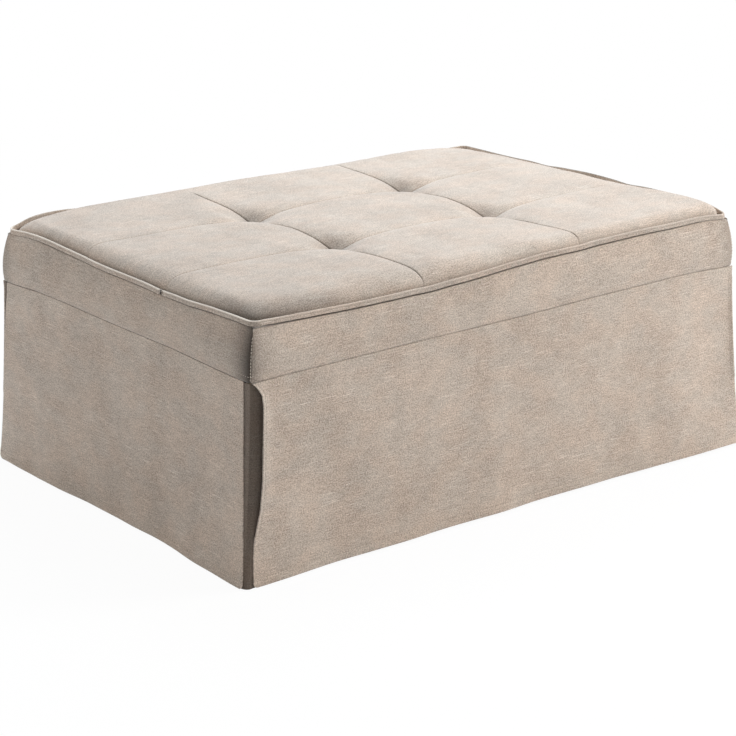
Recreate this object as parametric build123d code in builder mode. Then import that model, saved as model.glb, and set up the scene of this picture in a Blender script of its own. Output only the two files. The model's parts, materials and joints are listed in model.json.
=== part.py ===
from build123d import *
import os

# A skirted, tufted ottoman that opens into a guest bed. Its lid, with a sleeping pad underneath,
# flips over the hidden end onto a frame that pulls out on telescopic runners.
# X runs along the ottoman and +X is the hinge end, Y runs across it and -Y is the front.
# Z is up from the floor. All sizes are in millimetres.

os.makedirs("parts", exist_ok=True)

# Outline of the closed ottoman
cover_length = 1016.0
cover_width = 698.0
parting_height = 317.0
parting_gap = 4.0
seam_line = 2.5
band_height = 83.0
band_top_inset = 9.6
band_bulge = 3.0
band_corner_radius = 12.0
crown_rise = 25.0
tuft_rise = 9.0

# Clearances
fit_gap = 0.3
loose_gap = 1.0
glue_line = 0.2
cut_overrun = 2.0

# Cloth
skirt_cloth = 3.0
tape_thickness = 2.0
tape_height = 24.0
pleat_cloth = 1.2
pleat_return = 46.0
hem_height = 5.0
hem_flare = 14.0
flare_middle_share = 0.3
skirt_corner_inset = 12.0

# Boards of the base and the lid
board_thickness = 18.0
board_floor_gap = 30.0
rim_thickness = 20.0
rim_height = 49.0
deck_thickness = 9.0
piping_radius = 3.8

# Slatted deck of the base
ledger_leg = 25.0
ledger_thickness = 3.0
slat_thickness = 8.0
slat_width = 60.0
slat_count = 11
holder_wall = 2.0
holder_depth = 22.0
deck_headroom = 3.3
mattress_side_gap = 4.0

# Pull-out frame
rail_width = 25.0
rail_height = 50.0
tube_wall = 2.0
support_slat_thickness = 10.0
support_slat_width = 50.0
support_slat_count = 7
end_gap = 1.0
pull_clearance = 3.0
rail_back_gap = 15.0

# Telescopic runners
runner_height = 46.0
runner_depth = 12.0
runner_wall = 1.5
runner_play = 0.5
runner_drop = 12.0

# Castors
wheel_radius = 25.0
wheel_width = 18.0
tyre_thickness = 5.0
castor_setback = 30.0
castor_board_gap = 66.0
axle_radius = 3.0
axle_clearance = 0.08
fork_wall = 2.5
hub_radius = 8.0
spoke_count = 5
spoke_width = 5.0

# Feet
foot_block = 40.0
foot_block_gap = 8.0
glide_radius = 14.0
glide_height = 12.0
glide_edge = 2.0

# Hinges of the lid
hinge_setback = 8.0
hinge_spread = 220.0
knuckle_pitch = 22.0
knuckle_count = 5
leaf_thickness = 1.8
barrel_radius = 4.0
pin_radius = 2.0
pin_clearance = 0.05
screw_radius = 1.8
screw_head_radius = 3.4
screw_length = 14.0

# Levels and faces that follow from these sizes
half_length = cover_length / 2
half_width = cover_width / 2
lid_bottom = parting_height + parting_gap / 2
base_top = parting_height - parting_gap / 2
skirt_top = lid_bottom - seam_line
piping_height = lid_bottom + band_height
crown_height = piping_height + crown_rise
board_x = half_length - skirt_cloth - tape_thickness
board_y = half_width - skirt_cloth - tape_thickness
inner_x = board_x - board_thickness
inner_y = board_y - board_thickness
side_end = inner_x - end_gap
hinge_x = half_length + hinge_setback
piping_x = half_length - band_top_inset - piping_radius
piping_y = half_width - band_top_inset - piping_radius
cushion_x = piping_x - piping_radius
cushion_y = piping_y - piping_radius
rim_x = piping_x + loose_gap
rim_y = piping_y + loose_gap
deck_bottom = lid_bottom + rim_height
deck_top = deck_bottom + deck_thickness
support_top = 2 * parting_height - crown_height - fit_gap
rail_top = support_top - support_slat_thickness
rail_bottom = rail_top - rail_height
ledger_top = support_top + deck_headroom + ledger_thickness
slat_top = ledger_top + slat_thickness + 2 * holder_wall
runner_centre = ledger_top - ledger_leg - runner_drop - runner_height / 2
rail_outer_y = inner_y - runner_depth - 2 * runner_play - 2 * runner_wall + runner_play
rail_inner_y = rail_outer_y - rail_width
rail_back_x = -inner_x + rail_back_gap
castor_x = inner_x - castor_setback
castor_y = inner_y - castor_board_gap
flipped_reach = 2 * hinge_x + half_length
pull_travel = flipped_reach + pull_clearance - inner_x
foot_pleat_return = board_x - (flipped_reach + loose_gap - pull_travel)
hinge_rail_x = side_end - board_thickness


def save(piece, name):
    """Label a finished piece and write it as one file."""
    piece.part.label = name
    export_step(piece.part, f"parts/{name}.step")


def outward(direction):
    """The upright plane whose own X points out along the direction and whose own Y points up."""
    return Plane(origin=(0, 0, 0), x_dir=direction, z_dir=Vector(direction).cross(Vector(0, 0, 1)))


def block(low, high):
    """Add a squared block between two corners to the part that is being built."""
    middle = [(a + b) / 2 for a, b in zip(low, high)]
    with Locations(tuple(middle)):
        return Box(high[0] - low[0], high[1] - low[1], high[2] - low[2])


def tube_along_y(x, z, y_span, width, height, wall):
    """Add a hollow rectangular tube that runs across the frame."""
    block((x - width / 2, -y_span, z), (x + width / 2, y_span, z + height))
    with Locations((x, 0, z + height / 2)):
        Box(width - 2 * wall, 2 * y_span + cut_overrun, height - 2 * wall, mode=Mode.SUBTRACT)


# Base boards
for side, where in ((-1, "front"), (1, "back")):
    with BuildPart() as side_board:
        with BuildSketch(Plane.XZ.offset(-side * board_y)):
            with Locations(((side_end - inner_x) / 2, (board_floor_gap + base_top) / 2)):
                Rectangle(side_end + inner_x, base_top - board_floor_gap)
        extrude(amount=side * board_thickness)
        fillet(side_board.edges().filter_by(Axis.Y).group_by(Axis.Z)[0], radius=board_thickness / 2)
    save(side_board, f"side_board_{where}")

with BuildPart() as head_board:
    with BuildSketch(Plane.YZ.offset(-board_x)):
        with Locations((0, (board_floor_gap + base_top) / 2)):
            Rectangle(2 * board_y, base_top - board_floor_gap)
    extrude(amount=board_thickness)
    fillet(head_board.edges().filter_by(Axis.X).group_by(Axis.Z)[0], radius=board_thickness / 2)
save(head_board, "head_board")

hinge_screw_places = [
    side * hinge_spread + step * knuckle_pitch * (knuckle_count - 1) / 2
    for side in (-1, 1)
    for step in (-1, 1)
]
base_screw_x = hinge_rail_x + board_thickness / 2
lid_screw_x = rim_x - rim_thickness / 2

with BuildPart() as hinge_rail:
    block((hinge_rail_x, -inner_y, ledger_top), (side_end, inner_y, base_top))
    with Locations([(base_screw_x, y, base_top) for y in hinge_screw_places]):
        Cylinder(screw_radius + pin_clearance, 2 * screw_length, mode=Mode.SUBTRACT)
save(hinge_rail, "hinge_rail")

tie_back_x = castor_x - wheel_radius - foot_block
with BuildPart() as lower_tie:
    block((tie_back_x, -inner_y, board_floor_gap), (tie_back_x + board_thickness, inner_y,
                                                    board_floor_gap + ledger_leg))
save(lower_tie, "lower_tie")

block_top = runner_centre - runner_height / 2 - foot_block_gap
block_y = inner_y - foot_block / 2
foot_places = [
    (x, y)
    for x in (-inner_x + foot_block / 2, side_end - foot_block / 2)
    for y in (-block_y, block_y)
]
with BuildPart() as foot_blocks:
    with Locations([(x, y, (glide_height + block_top) / 2) for x, y in foot_places]):
        Box(foot_block, foot_block, block_top - glide_height)
    chamfer(foot_blocks.edges().filter_by(Axis.Z), length=glide_edge)
save(foot_blocks, "foot_blocks")

with BuildPart() as glides:
    with Locations([(x, y, glide_height / 2) for x, y in foot_places]):
        Cylinder(glide_radius, glide_height)
    chamfer(glides.edges().group_by(Axis.Z)[0], length=glide_edge)
save(glides, "glides")

# Steel angles that carry the slats
for side, where in ((-1, "front"), (1, "back")):
    with BuildPart() as ledger:
        with BuildSketch(Plane.YZ.offset(-inner_x)):
            with BuildLine():
                Polyline(
                    (side * inner_y, ledger_top - ledger_leg),
                    (side * inner_y, ledger_top),
                    (side * (inner_y - ledger_leg), ledger_top),
                    (side * (inner_y - ledger_leg), ledger_top - ledger_thickness),
                    (side * (inner_y - ledger_thickness), ledger_top - ledger_thickness),
                    (side * (inner_y - ledger_thickness), ledger_top - ledger_leg),
                    close=True,
                )
            make_face()
        extrude(amount=hinge_rail_x + inner_x)
    save(ledger, f"slat_ledger_{where}")

# Bed slats and the plastic holders at their ends
slat_reach = inner_y - holder_wall - fit_gap
slat_run = hinge_rail_x + inner_x - slat_width - 2 * holder_depth
slat_middle_x = (hinge_rail_x - inner_x) / 2
slat_places = [
    slat_middle_x + slat_run * (number / (slat_count - 1) - 1 / 2) for number in range(slat_count)
]
with BuildPart() as bed_slats:
    for x in slat_places:
        block((x - slat_width / 2, -slat_reach, ledger_top + holder_wall),
              (x + slat_width / 2, slat_reach, slat_top - holder_wall))
    chamfer(bed_slats.edges().filter_by(Axis.Y).group_by(Axis.Z)[-1], length=holder_wall / 2)
save(bed_slats, "bed_slats")

with BuildPart() as slat_holders:
    for x in slat_places:
        for side in (-1, 1):
            inner_end = inner_y - holder_depth
            near, far = sorted((side * inner_end, side * inner_y))
            block((x - slat_width / 2 - holder_wall, near, ledger_top),
                  (x + slat_width / 2 + holder_wall, far, slat_top))
    for x in slat_places:
        with Locations((x, 0, (ledger_top + slat_top) / 2)):
            Box(slat_width, 2 * (slat_reach + fit_gap), slat_thickness, mode=Mode.SUBTRACT)
save(slat_holders, "slat_holders")

# Steel corner angles inside the base
bracket_leg = 45.0
bracket_thickness = 3.0
bracket_height = 30.0
bracket_lift = 8.0
bracket_levels = (slat_top + bracket_lift, base_top - bracket_lift - bracket_height)
with BuildPart() as corner_brackets:
    for side in (-1, 1):
        for level in bracket_levels:
            with BuildSketch(Plane.XY.offset(level)):
                with BuildLine():
                    Polyline(
                        (-inner_x, side * inner_y),
                        (-inner_x + bracket_leg, side * inner_y),
                        (-inner_x + bracket_leg, side * (inner_y - bracket_thickness)),
                        (-inner_x + bracket_thickness, side * (inner_y - bracket_thickness)),
                        (-inner_x + bracket_thickness, side * (inner_y - bracket_leg)),
                        (-inner_x, side * (inner_y - bracket_leg)),
                        close=True,
                    )
                make_face()
            extrude(amount=bracket_height)
save(corner_brackets, "corner_brackets")

# Telescopic runners: three channels nested inside each other on each side
runner_back_x = -inner_x + foot_block_gap / 2


def channel(side, web_depth, open_depth, height):
    """Draw the section of a channel whose web and open edge lie at these depths from the board."""
    web = side * (inner_y - web_depth)
    web_inside = web + (runner_wall if side * (web_depth - open_depth) > 0 else -runner_wall)
    edge = side * (inner_y - open_depth)
    half = height / 2
    with BuildLine() as outline:
        Polyline(
            (web, runner_centre - half),
            (web, runner_centre + half),
            (edge, runner_centre + half),
            (edge, runner_centre + half - runner_wall),
            (web_inside, runner_centre + half - runner_wall),
            (web_inside, runner_centre - half + runner_wall),
            (edge, runner_centre - half + runner_wall),
            (edge, runner_centre - half),
            close=True,
        )
    make_face(outline.edges())


middle_height = runner_height - 2 * (runner_wall + runner_play)
inner_height = middle_height - 2 * (runner_wall + runner_play)
middle_web = runner_wall + runner_play
middle_edge = runner_depth + runner_play
inner_web = inner_y - rail_outer_y
inner_edge = middle_web + runner_wall + runner_play
for side, where in ((-1, "front"), (1, "back")):
    with BuildPart() as runner_channel:
        with BuildSketch(Plane.YZ.offset(runner_back_x)):
            channel(side, 0, runner_depth, runner_height)
        extrude(amount=side_end - runner_back_x)
    save(runner_channel, f"runner_channel_{where}")

    with BuildPart() as runner_middle:
        with BuildSketch(Plane.YZ.offset(runner_back_x)):
            channel(side, middle_web, middle_edge, middle_height)
        extrude(amount=side_end - runner_back_x)
    save(runner_middle, f"runner_middle_{where}")

    with BuildPart() as runner_inner:
        with BuildSketch(Plane.YZ.offset(runner_back_x)):
            channel(side, inner_web, inner_edge, inner_height)
        extrude(amount=inner_x - runner_back_x)
    save(runner_inner, f"runner_inner_{where}")

# Pull-out frame: two side rails, cross tubes, slats and the end board
rail_middle_y = (rail_outer_y + rail_inner_y) / 2
rail_length = inner_x - rail_back_x
for side, where in ((-1, "front"), (1, "back")):
    with BuildPart() as support_rail:
        with BuildSketch(Plane.YZ.offset(rail_back_x)):
            with Locations((side * rail_middle_y, (rail_bottom + rail_top) / 2)):
                Rectangle(rail_width, rail_height)
                Rectangle(rail_width - 2 * tube_wall, rail_height - 2 * tube_wall,
                          mode=Mode.SUBTRACT)
        extrude(amount=rail_length)
    save(support_rail, f"support_rail_{where}")

with BuildPart() as back_cross_tube:
    tube_along_y(rail_back_x + rail_width / 2, rail_bottom, rail_inner_y, rail_width, rail_width,
                 tube_wall)
save(back_cross_tube, "back_cross_tube")

with BuildPart() as castor_cross_tube:
    tube_along_y(castor_x, rail_bottom, rail_inner_y, rail_width, rail_width, tube_wall)
save(castor_cross_tube, "castor_cross_tube")

support_run = rail_length - support_slat_width - 2 * rail_width
with BuildPart() as support_slats:
    for number in range(support_slat_count):
        x = rail_back_x + rail_length / 2 + support_run * (number / (support_slat_count - 1) - 1 / 2)
        block((x - support_slat_width / 2, -rail_outer_y + loose_gap, rail_top),
              (x + support_slat_width / 2, rail_outer_y - loose_gap, support_top))
    chamfer(support_slats.edges().filter_by(Axis.Y).group_by(Axis.Z)[-1], length=holder_wall / 2)
save(support_slats, "support_slats")

end_board_top = parting_height - barrel_radius - loose_gap
with BuildPart() as end_board:
    with BuildSketch(Plane.YZ.offset(inner_x)):
        with Locations((0, (board_floor_gap + end_board_top) / 2)):
            Rectangle(2 * board_y, end_board_top - board_floor_gap)
    extrude(amount=board_thickness)
    fillet(end_board.edges().filter_by(Axis.X).group_by(Axis.Z)[0], radius=board_thickness / 2)
save(end_board, "end_board")

# Castors under the pull-out frame
fork_inside = wheel_width + 2 * loose_gap
fork_top = 2 * wheel_radius + 2 * fork_wall
fork_cheek = 2 * hub_radius + 2 * fork_wall
fork_plate_length = 2 * rail_width
with BuildPart() as castor_legs:
    for side in (-1, 1):
        with BuildSketch(Plane.XY.offset(fork_top)):
            with Locations((castor_x, side * castor_y)):
                Rectangle(rail_width, rail_width)
                Rectangle(rail_width - 2 * tube_wall, rail_width - 2 * tube_wall,
                          mode=Mode.SUBTRACT)
        extrude(amount=rail_bottom - fork_top)
save(castor_legs, "castor_legs")

with BuildPart() as castor_forks:
    for side in (-1, 1):
        for cheek in (-1, 1):
            cheek_y = side * castor_y + cheek * (fork_inside + fork_wall) / 2
            with BuildSketch(Plane.XZ.offset(-cheek_y)):
                with BuildLine():
                    Line((castor_x - fork_plate_length / 2, fork_top),
                         (castor_x + fork_plate_length / 2, fork_top))
                    Line((castor_x + fork_plate_length / 2, fork_top),
                         (castor_x + fork_cheek / 2, wheel_radius))
                    ThreePointArc(
                        (castor_x + fork_cheek / 2, wheel_radius),
                        (castor_x, wheel_radius - fork_cheek / 2),
                        (castor_x - fork_cheek / 2, wheel_radius),
                    )
                    Line((castor_x - fork_cheek / 2, wheel_radius),
                         (castor_x - fork_plate_length / 2, fork_top))
                make_face()
                with Locations((castor_x, wheel_radius)):
                    Circle(axle_radius + pin_clearance, mode=Mode.SUBTRACT)
            extrude(amount=fork_wall / 2, both=True)
        block((castor_x - fork_plate_length / 2, side * castor_y - fork_inside / 2,
               fork_top - fork_wall),
              (castor_x + fork_plate_length / 2, side * castor_y + fork_inside / 2, fork_top))
save(castor_forks, "castor_forks")

axle_half = fork_inside / 2 + fork_wall + loose_gap
with BuildPart() as castor_axles:
    with Locations([(castor_x, side * castor_y, wheel_radius) for side in (-1, 1)]):
        Cylinder(axle_radius, 2 * axle_half, rotation=(90, 0, 0))
    for side in (-1, 1):
        for end in (-1, 1):
            with Locations((castor_x, side * castor_y + end * (axle_half + fork_wall / 2),
                            wheel_radius)):
                Cylinder(axle_radius + fork_wall, fork_wall, rotation=(90, 0, 0))
save(castor_axles, "castor_axles")

rim_outer_radius = wheel_radius - tyre_thickness
rim_inner_radius = rim_outer_radius - fork_wall
for side, where in ((-1, "front"), (1, "back")):
    wheel_plane = Plane.XZ.offset(-side * castor_y)
    with BuildPart() as wheel_hub:
        with BuildSketch(wheel_plane):
            with Locations((castor_x, wheel_radius)):
                Circle(rim_outer_radius)
                Circle(rim_inner_radius, mode=Mode.SUBTRACT)
                Circle(hub_radius)
            with Locations((castor_x, wheel_radius)):
                for spoke in range(spoke_count):
                    Rectangle(rim_inner_radius + fork_wall / 2, spoke_width,
                              rotation=360 * spoke / spoke_count, align=(Align.MIN, Align.CENTER))
                Circle(axle_radius + axle_clearance, mode=Mode.SUBTRACT)
        extrude(amount=wheel_width / 2 - loose_gap, both=True)
    save(wheel_hub, f"wheel_hub_{where}")

    with BuildPart() as wheel_tyre:
        with BuildSketch(wheel_plane):
            with Locations((castor_x, wheel_radius)):
                Circle(wheel_radius)
                Circle(rim_outer_radius, mode=Mode.SUBTRACT)
        extrude(amount=wheel_width / 2, both=True)
        tread_edges = wheel_tyre.edges().filter_by(GeomType.CIRCLE).sort_by(SortBy.RADIUS)[-2:]
        chamfer(tread_edges, length=glide_edge)
    save(wheel_tyre, f"wheel_tyre_{where}")

# Skirts, their fastening strips and the pleats behind the open corners
tape_top = base_top
foot_skirt_top = end_board_top


def skirt_profile(reach, top):
    """Draw the upright section of a hanging panel that flares away from the base at its hem."""
    middle_z = (hem_height + top) / 2
    middle_out = reach + hem_flare * flare_middle_share
    with BuildLine() as outline:
        ThreePointArc((reach - skirt_cloth, top), (middle_out - skirt_cloth, middle_z),
                      (reach + hem_flare - skirt_cloth, hem_height))
        Line((reach + hem_flare - skirt_cloth, hem_height), (reach + hem_flare, hem_height))
        ThreePointArc((reach + hem_flare, hem_height), (middle_out, middle_z), (reach, top))
        Line((reach, top), (reach - skirt_cloth, top))
    make_face(outline.edges())


skirts = (
    ("skirt_front", (0, -1, 0), half_width, half_length, skirt_top),
    ("skirt_back", (0, 1, 0), half_width, half_length, skirt_top),
    ("skirt_head", (-1, 0, 0), half_length, half_width, skirt_top),
    ("skirt_foot", (1, 0, 0), half_length, half_width, foot_skirt_top),
)
for name, direction, reach, half_span, top in skirts:
    with BuildPart() as skirt:
        with BuildSketch(outward(direction)):
            skirt_profile(reach, top)
        extrude(amount=half_span - skirt_corner_inset, both=True)
    save(skirt, name)

tape_bottom = end_board_top - tape_height
with BuildPart() as base_tapes:
    for side in (-1, 1):
        near, far = sorted((side * board_y, side * (board_y + tape_thickness)))
        block((-half_length + skirt_corner_inset, near, tape_bottom),
              (side_end - pleat_return, far, tape_top))
    block((-board_x - tape_thickness, -board_y + skirt_corner_inset, tape_bottom),
          (-board_x, board_y - skirt_corner_inset, tape_top))
save(base_tapes, "base_tapes")

with BuildPart() as foot_tape:
    block((board_x, -board_y + skirt_corner_inset, tape_bottom),
          (board_x + tape_thickness, board_y - skirt_corner_inset, end_board_top))
save(foot_tape, "foot_tape")

pleat_gap = (tape_thickness - pleat_cloth) / 2
pleat_top = tape_bottom - loose_gap


def pleat_section(end, side, spread):
    """Draw a corner pleat from above, folded round the corner and spread by the flare."""
    long_return = foot_pleat_return if end > 0 else pleat_return
    x_in = board_x + pleat_gap + spread
    y_in = board_y + pleat_gap + spread
    x_out = x_in + pleat_cloth
    y_out = y_in + pleat_cloth
    corners = [
        (x_in - long_return, y_in),
        (x_in, y_in),
        (x_in, y_in - pleat_return),
        (x_out, y_in - pleat_return),
        (x_out, y_out),
        (x_in - long_return, y_out),
    ]
    with BuildLine() as outline:
        Polyline(*[(end * x, side * y) for x, y in corners], close=True)
    make_face(outline.edges())


for end, where in ((-1, "head"), (1, "foot")):
    with BuildPart() as corner_pleats:
        for side in (-1, 1):
            for level, spread in (
                (hem_height, hem_flare * (1 - flare_middle_share)),
                ((hem_height + pleat_top) / 2, 0),
            ):
                with BuildSketch(Plane.XY.offset(level)):
                    pleat_section(end, side, spread)
            loft(ruled=True)
            with BuildSketch(Plane.XY.offset((hem_height + pleat_top) / 2)):
                pleat_section(end, side, 0)
            extrude(amount=(pleat_top - hem_height) / 2)
    save(corner_pleats, f"corner_pleats_{where}")

# Lid: rim boards, deck, hinges and the rubber rests that it closes on
with BuildPart() as lid_rim:
    for side in (-1, 1):
        near, far = sorted((side * (rim_y - rim_thickness), side * rim_y))
        block((-rim_x, near, lid_bottom), (rim_x, far, deck_bottom))
        near, far = sorted((side * (rim_x - rim_thickness), side * rim_x))
        cross_reach = rim_y - rim_thickness - glue_line
        block((near, -cross_reach, lid_bottom), (far, cross_reach, deck_bottom))
    with Locations([(lid_screw_x, y, lid_bottom) for y in hinge_screw_places]):
        Cylinder(screw_radius + pin_clearance, 2 * screw_length, mode=Mode.SUBTRACT)
save(lid_rim, "lid_rim")

vent_length = 190.0
vent_width = 22.0
vent_pitch_x = 240.0
vent_pitch_y = 300.0
vent_columns = 3
vent_rows = 2
twine_radius = 1.5
washer_radius = 12.0
washer_thickness = 1.6
tuft_x = cushion_x / 3
tuft_y = cushion_y / 3
tuft_places = [(x, y) for x in (-tuft_x, tuft_x) for y in (-tuft_y, tuft_y)]
with BuildPart() as lid_deck:
    with BuildSketch(Plane.XY.offset(deck_bottom)):
        Rectangle(2 * rim_x, 2 * rim_y)
        with GridLocations(vent_pitch_x, vent_pitch_y, vent_columns, vent_rows):
            SlotOverall(vent_length, vent_width, mode=Mode.SUBTRACT)
        with Locations(tuft_places):
            Circle(twine_radius + fit_gap, mode=Mode.SUBTRACT)
    extrude(amount=deck_thickness)
    with BuildSketch(Plane.XY.offset(deck_bottom)):
        with Locations(tuft_places):
            Circle(washer_radius + fit_gap)
    extrude(amount=2 * washer_thickness, mode=Mode.SUBTRACT)
save(lid_deck, "lid_deck")

knuckle_starts = [
    side * hinge_spread + (number - knuckle_count / 2) * knuckle_pitch
    for side in (-1, 1)
    for number in range(knuckle_count)
]
leaf_half = knuckle_count * knuckle_pitch / 2


def hinge_leaves(back_x, leaf_low, own_first, screw_x, head_up):
    """Add one leaf of both hinges, with its own knuckles and room for the other leaf's."""
    for side in (-1, 1):
        block((back_x, side * hinge_spread - leaf_half, leaf_low),
              (hinge_x, side * hinge_spread + leaf_half, leaf_low + leaf_thickness))
    own = [start for index, start in enumerate(knuckle_starts)
           if index % knuckle_count % 2 == own_first]
    others = [start for start in knuckle_starts if start not in own]
    for start in others:
        with Locations((hinge_x, start + knuckle_pitch / 2, parting_height)):
            Box(2 * (barrel_radius + loose_gap), knuckle_pitch + 2 * fit_gap,
                2 * (barrel_radius + loose_gap), mode=Mode.SUBTRACT)
    for start in own:
        with Locations((hinge_x, start + knuckle_pitch / 2, parting_height)):
            Cylinder(barrel_radius, knuckle_pitch - 2 * fit_gap, rotation=(90, 0, 0))
    with Locations([(hinge_x, side * hinge_spread, parting_height) for side in (-1, 1)]):
        Cylinder(pin_radius + pin_clearance, 2 * leaf_half + cut_overrun, rotation=(90, 0, 0),
                 mode=Mode.SUBTRACT)
    sink = (screw_head_radius - screw_radius) + pin_clearance
    head = leaf_low + (leaf_thickness - sink / 2 if head_up else sink / 2)
    with Locations([(screw_x, y, leaf_low + leaf_thickness / 2) for y in hinge_screw_places]):
        Cylinder(screw_radius + pin_clearance, leaf_thickness + cut_overrun, mode=Mode.SUBTRACT)
    with Locations([(screw_x, y, head) for y in hinge_screw_places]):
        low_radius, high_radius = screw_radius, screw_head_radius
        if not head_up:
            low_radius, high_radius = high_radius, low_radius
        Cone(low_radius + pin_clearance, high_radius + pin_clearance, sink, mode=Mode.SUBTRACT)


base_leaf_low = base_top
lid_leaf_low = lid_bottom - leaf_thickness
with BuildPart() as hinge_base_leaves:
    hinge_leaves(hinge_rail_x, base_leaf_low, 0, base_screw_x, True)
save(hinge_base_leaves, "hinge_base_leaves")

with BuildPart() as hinge_lid_leaves:
    hinge_leaves(rim_x - rim_thickness, lid_leaf_low, 1, lid_screw_x, False)
save(hinge_lid_leaves, "hinge_lid_leaves")

with BuildPart() as hinge_pins:
    with Locations([(hinge_x, side * hinge_spread, parting_height) for side in (-1, 1)]):
        Cylinder(pin_radius, 2 * leaf_half, rotation=(90, 0, 0))
save(hinge_pins, "hinge_pins")


def hinge_screws(screw_x, head_face, down):
    """Add the countersunk screws of one leaf, driven down from or up from their head's face."""
    head_height = screw_head_radius - screw_radius
    for y in hinge_screw_places:
        with Locations((screw_x, y, head_face - down * head_height / 2)):
            if down > 0:
                Cone(screw_radius, screw_head_radius, head_height)
            else:
                Cone(screw_head_radius, screw_radius, head_height)
        with Locations((screw_x, y, head_face - down * (head_height + screw_length) / 2)):
            Cylinder(screw_radius, screw_length - head_height)


with BuildPart() as base_hinge_screws:
    hinge_screws(base_screw_x, base_leaf_low + leaf_thickness - pin_clearance, 1)
save(base_hinge_screws, "base_hinge_screws")

with BuildPart() as lid_hinge_screws:
    hinge_screws(lid_screw_x, lid_leaf_low + pin_clearance, -1)
save(lid_hinge_screws, "lid_hinge_screws")

bumper_radius = 4.5
bumper_run_share = 0.72
bumper_height = parting_gap - fit_gap
bumper_y = (inner_y + rim_y) / 2
bumper_x = (inner_x + rim_x) / 2
with BuildPart() as lid_bumpers:
    with Locations([(x, side * bumper_y, base_top + bumper_height / 2) for side in (-1, 1)
                    for x in (-bumper_run_share * half_length, 0, bumper_run_share * half_length)]):
        Cylinder(bumper_radius, bumper_height)
    with Locations([(-bumper_x, y, base_top + bumper_height / 2)
                    for y in (-bumper_run_share * inner_y, bumper_run_share * inner_y)]):
        Cylinder(bumper_radius, bumper_height)
save(lid_bumpers, "lid_bumpers")

# Boxing band: a padded cloth band that narrows and bulges towards the piping
band_top = piping_height - piping_radius
with BuildPart() as boxing_band:
    for level, inset in (
        (lid_bottom, 0),
        ((lid_bottom + band_top) / 2, band_top_inset / 2 - band_bulge),
        (band_top, band_top_inset),
    ):
        with BuildSketch(Plane.XY.offset(level)):
            RectangleRounded(2 * (half_length - inset), 2 * (half_width - inset),
                             band_corner_radius)
    loft()
    with BuildSketch(Plane.XY.offset(lid_bottom)):
        Rectangle(2 * rim_x, 2 * rim_y)
    extrude(amount=deck_top - lid_bottom, mode=Mode.SUBTRACT)
    with BuildSketch(Plane.XY.offset(deck_top)):
        Rectangle(2 * cushion_x, 2 * cushion_y)
    extrude(amount=band_top - deck_top, mode=Mode.SUBTRACT)
save(boxing_band, "boxing_band")

with BuildSketch(Plane.XY.offset(piping_height)) as piping_outline:
    RectangleRounded(2 * piping_x, 2 * piping_y, band_corner_radius)
piping_path = piping_outline.sketch.face().outer_wire()
with BuildPart() as top_piping:
    with BuildSketch(Plane(origin=piping_path @ 0, z_dir=piping_path % 0)):
        Circle(piping_radius)
    sweep(path=piping_path)
save(top_piping, "top_piping")

# Tufted cushion: three by three panels that swell between sunken seams and four pulled tufts
station_shares = (0, 0.2, 0.5, 0.8, 1)
station_rises = (0, 0.72, 1, 0.72, 0)
valley_rise = 6.0
seam_drop = 8.0
edge_rise = 1.5
tuft_level = piping_height + tuft_rise
seam_level = crown_height - seam_drop
edge_level = piping_height + edge_rise
panel_length = 2 * cushion_x / 3
third_y = cushion_y / 3


def cushion_section(seam, middle_row, outer_row, edge):
    """Draw the cushion's upright section across the ottoman from the levels of its rows."""
    outer_middle_y = (cushion_y + third_y) / 2
    with BuildLine() as outline:
        Polyline((-cushion_y, edge), (-cushion_y, deck_top), (cushion_y, deck_top),
                 (cushion_y, edge))
        ThreePointArc((cushion_y, edge), (outer_middle_y, outer_row), (third_y, seam))
        ThreePointArc((third_y, seam), (0, middle_row), (-third_y, seam))
        ThreePointArc((-third_y, seam), (-outer_middle_y, outer_row), (-cushion_y, edge))
    make_face(outline.edges())


with BuildPart() as top_cushion:
    for column in range(3):
        left_level = edge_level if column == 0 else tuft_level
        right_level = edge_level if column == 2 else tuft_level
        for share, rise in zip(station_shares, station_rises):
            border = left_level + (right_level - left_level) * share
            valley = border + valley_rise * (border - piping_height) / tuft_rise
            seam = border + rise * (seam_level - border)
            middle_row = valley + rise * (crown_height - valley)
            outer_row = (valley + edge_level) / 2 + valley_rise / 2
            outer_row += rise * (crown_height - edge_rise - outer_row)
            x = -cushion_x + panel_length * (column + share)
            with BuildSketch(Plane.YZ.offset(x)):
                cushion_section(seam, middle_row, outer_row, edge_level)
        loft()
    with BuildSketch(Plane.XY.offset(deck_top)):
        RectangleRounded(2 * cushion_x, 2 * cushion_y, band_corner_radius)
    extrude(amount=crown_height, mode=Mode.INTERSECT)
    twine_top = tuft_level - 2 * twine_radius
    with Locations([(x, y, (deck_top + twine_top) / 2) for x, y in tuft_places]):
        Cylinder(twine_radius + fit_gap, twine_top - deck_top + 2 * twine_radius,
                 mode=Mode.SUBTRACT)
save(top_cushion, "top_cushion")

twine_bottom = deck_bottom + 2 * washer_thickness - loose_gap
with BuildPart() as tuft_twines:
    with Locations([(x, y, (twine_bottom + twine_top) / 2) for x, y in tuft_places]):
        Cylinder(twine_radius, twine_top - twine_bottom)
save(tuft_twines, "tuft_twines")

with BuildPart() as tuft_washers:
    with BuildSketch(Plane.XY.offset(deck_bottom + washer_thickness)):
        with Locations(tuft_places):
            Circle(washer_radius)
            Circle(twine_radius + fit_gap, mode=Mode.SUBTRACT)
    extrude(amount=washer_thickness)
save(tuft_washers, "tuft_washers")

# Sleeping pads: one on the slats and one under the lid, quilted in channels across the bed
pad_edge_drop = 7.0
pad_draw_in = 4.0
channel_rises = (0.45, 1, 0.45)
channel_shares = (0, 0.5, 1)


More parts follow.
